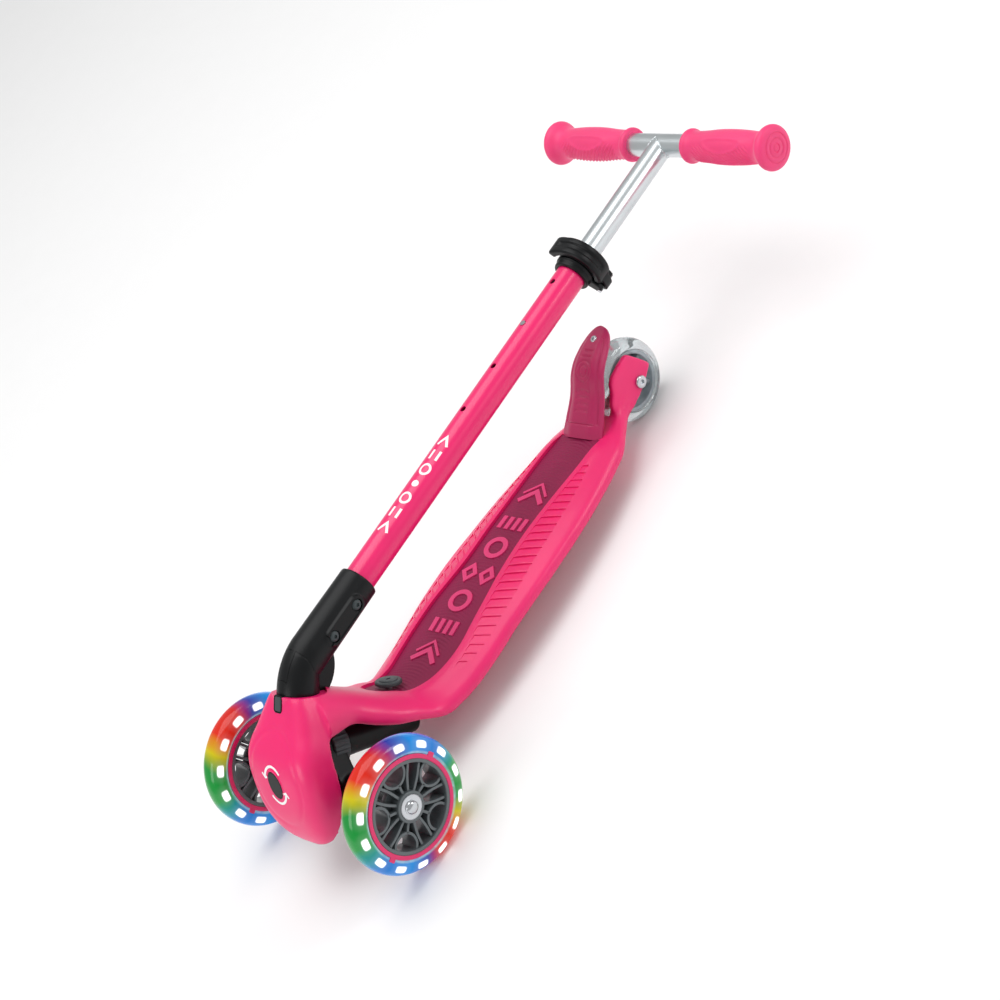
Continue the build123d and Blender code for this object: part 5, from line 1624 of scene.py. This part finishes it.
# ---- handlebar --------------------------------------------------------------------------------
@dataclass
class Handlebar:
    """Sliding tube, crossbar with its weld, and two soft grips."""

    bench: Bench
    bar_r: float = 11.0
    grip_r: float = 15.5

    # Place across and radius of a grip.
    profile = ((37, 14.6), (38.2, 15.8), (41, 16.2), (44.5, 14.4), (49, 13.9), (62, 14.5),
               (76, 15.7), (88, 16.1), (102, 15.9), (114, 15.2), (124, 14.4), (129, 14.6),
               (133, 16.4), (136.5, 19.4), (139.2, 20.8), (142, 20.9), (144.3, 19.6), (145.4, 17.4))

    # Place across and radius of the rings pressed into a grip's end.
    end_rings = ((145.6, 16.6), (145.9, 14.6), (145.2, 14.0), (145.2, 13.2), (146, 12.6), (146, 9.4),
                 (145.3, 8.9), (145.3, 8.1), (146, 7.5), (146, 4.4), (145.4, 4.0), (145.4, 3.2),
                 (146, 2.7), (146, 0.6))

    def relief(self, x: float, way: Vector) -> float:
        """Raised pattern of a grip: slanting ribs on one side and a leaf on the other."""
        if not 50 < x < 126:
            return 0.0
        ends = ease(50, 55, x) * ease(126, 121, x)
        side = way.dot(Vector((0, -0.93, -0.36)))
        round_it = math.atan2(way.dot(Vector((0, -0.36, 0.93))), side) * self.grip_r
        ribs = 0.7 * math.sin(2 * math.pi * (x + 0.9 * round_it) / 4.6) * ease(0.25, 0.55, side)
        facing = way.dot(Vector((0, -0.5, 0.86)))
        over = math.atan2(way.dot(Vector((0, 0.86, 0.5))), facing) * self.grip_r
        leaf = math.hypot((x - 90) / 24, (over + 3.0 * math.sin((x - 66) / 48 * math.pi)) / 6.5)
        line = 0.5 * math.exp(-((leaf - 1) * 8.0) ** 2) - 0.3 * ease(1.0, 0.7, leaf)
        front = ease(0.1, 0.4, facing)
        return ends * (ribs * (1 - 0.9 * front * ease(1.15, 1.0, leaf)) + line * front)

    def build_grip(self, side: int) -> None:
        """One grip, its pattern worked into the mesh and rings on its end."""
        rings = []
        count = 120
        step = 0.8
        first, last = self.profile[0][0], self.profile[-1][0]
        for index in range(int((last - first) / step) + 1):
            x = first + index * step
            radius = value_at(self.profile, x)
            ring = []
            for k in range(count):
                turn = 2 * math.pi * k / count
                way = Vector((0, math.cos(turn), math.sin(turn)))
                ring.append(Vector((side * x, BAR_Y, TUBE_Z)) + way * (radius + self.relief(x, way)))
            rings.append(ring)
        for x, radius in self.end_rings:
            rings.append([Vector((side * x, y, z)) for y, z in circle(radius, count, BAR_Y, TUBE_Z)])
        name = f"{SIDE_NAME[side]}_grip"
        grip = Clay().loft(rings).solid(f"{name}_moulded")
        self.bench.place(grip, self.bench.finish.grip, Slot.GRIP, [name], sharp=55)

    def build_weld(self) -> None:
        """Bead of weld where the sliding tube meets the crossbar."""
        rings = []
        count = 96
        for k in range(count):
            turn = 2 * math.pi * k / count
            u, v = self.bar_r * math.cos(turn), self.bar_r * math.sin(turn)
            y = BAR_Y - math.sqrt(max(0.0, self.bar_r ** 2 - v * v))
            middle = Vector((u, y, TUBE_Z + v))
            out = Vector((math.cos(turn), 0, math.sin(turn)))
            size = 0.9 + 0.12 * math.sin(turn * 24)
            rings.append([middle + out * a + Vector((0, b, 0)) for a, b in circle(size, 10)])
        rings.append([p.copy() for p in rings[0]])
        self.bench.place(Clay().loft(rings, capped=False).solid("bar_weld"), self.bench.finish.bar,
                         Slot.ALUMINIUM, body="handlebar")

    def build(self) -> None:
        """Builds the grips and the weld and dresses the tubes."""
        for side in PAIR:
            self.build_grip(side)
        self.build_weld()
        finish = self.bench.finish
        self.bench.dress(finish.aluminium, Slot.ALUMINIUM, "upper_tube")
        self.bench.dress(finish.bar, Slot.ALUMINIUM, "handlebar_tube")
        self.bench.dress(finish.black, Slot.BLACK, "tube_guide")
        self.bench.dress(finish.steel, Slot.STEEL, "snap_button", "snap_spring")


# ---- springs ----------------------------------------------------------------------------------
@dataclass
class Coil:
    """Compression spring behind a push button.

    The seat is the plane of its fixed end, with the normal towards the moving end.
    """

    bench: Bench
    node: str
    joint: str
    seat: Matrix
    length: float
    travel: float
    mean_r: float
    wire_r: float
    turns: float

    def build(self) -> None:
        """Winds the wire and replaces the plain ring."""
        steps = int(28 * self.turns)
        rise = self.length - 2 * self.wire_r
        rings: list[Ring] = []
        for step in range(steps + 1):
            turn = 2 * math.pi * self.turns * step / steps
            out = Vector((math.cos(turn), math.sin(turn), 0))
            middle = out * self.mean_r + Vector((0, 0, self.wire_r + rise * step / steps))
            rings.append([self.seat @ (middle + (out * x + Vector((0, 0, z))))
                          for x, z in circle(self.wire_r, 10)])
        piece = Clay().loft(rings).solid(f"{self.node}_coil")
        tool = self.bench
        tool.place(piece, tool.finish.steel, Slot.STEEL, [self.node], sharp=60)
        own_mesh(piece)


def coils(bench: Bench) -> list[Coil]:
    """The springs of the fold lock, of its release button and of the steering lock."""
    return [
        Coil(bench, "lock_spring", "lock_bolt_slide", elbow_frame(47.8), 6.7, 3.0, 2.5, 0.5, 4),
        Coil(bench, "release_spring", "release_press",
             shifted(RELEASE, -7.9), 2.8, 2.5, 2.5, 0.3, 3),
        Coil(bench, "steering_lock_spring", "steering_lock_press",
             shifted(LOCK_AXIS, -16.9), 7.8, 3.0, 4.0, 0.6, 4),
    ]


# ---- studio -----------------------------------------------------------------------------------
@dataclass
class Studio:
    """Pale floor, soft lights and the camera, in metres."""

    spot: tuple[float, float, float] = (1.79905, -0.81624, 1.42638)
    forward: tuple[float, float, float] = (-0.75402, 0.33658, -0.56407)
    up: tuple[float, float, float] = (-0.11555, 0.77739, 0.61832)
    lens: float = 95.78
    surround: float = 0.52

    def build_camera(self) -> None:
        """Sets the camera by its place and directions."""
        data = bpy.data.cameras.new("Camera")
        data.lens, data.sensor_width = self.lens, 36.0
        camera = bpy.data.objects.new("Camera", data)
        bpy.context.scene.collection.objects.link(camera)
        back = -Vector(self.forward).normalized()
        right = Vector(self.up).cross(back).normalized()
        turn = Matrix((right, back.cross(right), back)).transposed()
        camera.matrix_world = Matrix.Translation(self.spot) @ turn.to_4x4()
        bpy.context.scene.camera = camera

    def build_floor(self) -> None:
        """Wide near-white floor."""
        clay = bmesh.new()
        bmesh.ops.create_grid(clay, x_segments=2, y_segments=2, size=12.0)
        mesh = bpy.data.meshes.new("floor")
        clay.to_mesh(mesh)
        clay.free()
        floor = bpy.data.objects.new("floor", mesh)
        bpy.context.scene.collection.objects.link(floor)
        # Matt white painted board with a barely visible unevenness.
        paint = Finish("white_floor_paint", "#F7F7F7", 0.75, 2.0, 0.01, 0.004).build()
        mesh.materials.append(paint)

    def build_light(self, name: str, place: Sequence[float], size: float, power: float) -> None:
        """Square soft light aimed at the scooter's middle."""
        data = bpy.data.lights.new(name, "AREA")
        data.shape, data.size, data.energy = "SQUARE", size, power
        light = bpy.data.objects.new(name, data)
        bpy.context.scene.collection.objects.link(light)
        aim = Vector((0, 0, 0.1)) - Vector(place)
        turn = aim.to_track_quat("-Z", "Y").to_matrix().to_4x4()
        light.matrix_world = Matrix.Translation(place) @ turn

    def build(self) -> None:
        """Builds camera, floor, lights and the bright surround."""
        self.build_camera()
        self.build_floor()
        self.build_light("top", (-0.3, 0.3, 2.5), 2.2, 40)
        self.build_light("right", (1.8, 1.6, 1.1), 0.9, 15)
        self.build_light("left", (-0.2, -2.0, 1.0), 0.9, 10)
        world = bpy.data.worlds.new("studio_surround")
        world.use_nodes = True
        surround = world.node_tree.nodes["Background"].inputs
        surround["Color"].default_value = linear("#FFFFFF")
        surround["Strength"].default_value = self.surround
        bpy.context.scene.world = world
        bpy.context.scene.view_settings.view_transform = "Standard"


def main() -> None:
    """Builds the scooter and its studio round the frame."""
    logging.basicConfig(level=logging.INFO, format="%(name)s: %(message)s")
    bench = Bench()
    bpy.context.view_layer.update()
    Deck(bench).build()
    Truck(bench).build()
    for side in PAIR:
        FrontWheel(bench, side).build()
    RearWheel(bench).build()
    Brake(bench).build()
    Column(bench).build()
    Handlebar(bench).build()
    for coil in coils(bench):
        coil.build()
    Studio().build()


if __name__ == "__main__":
    main()
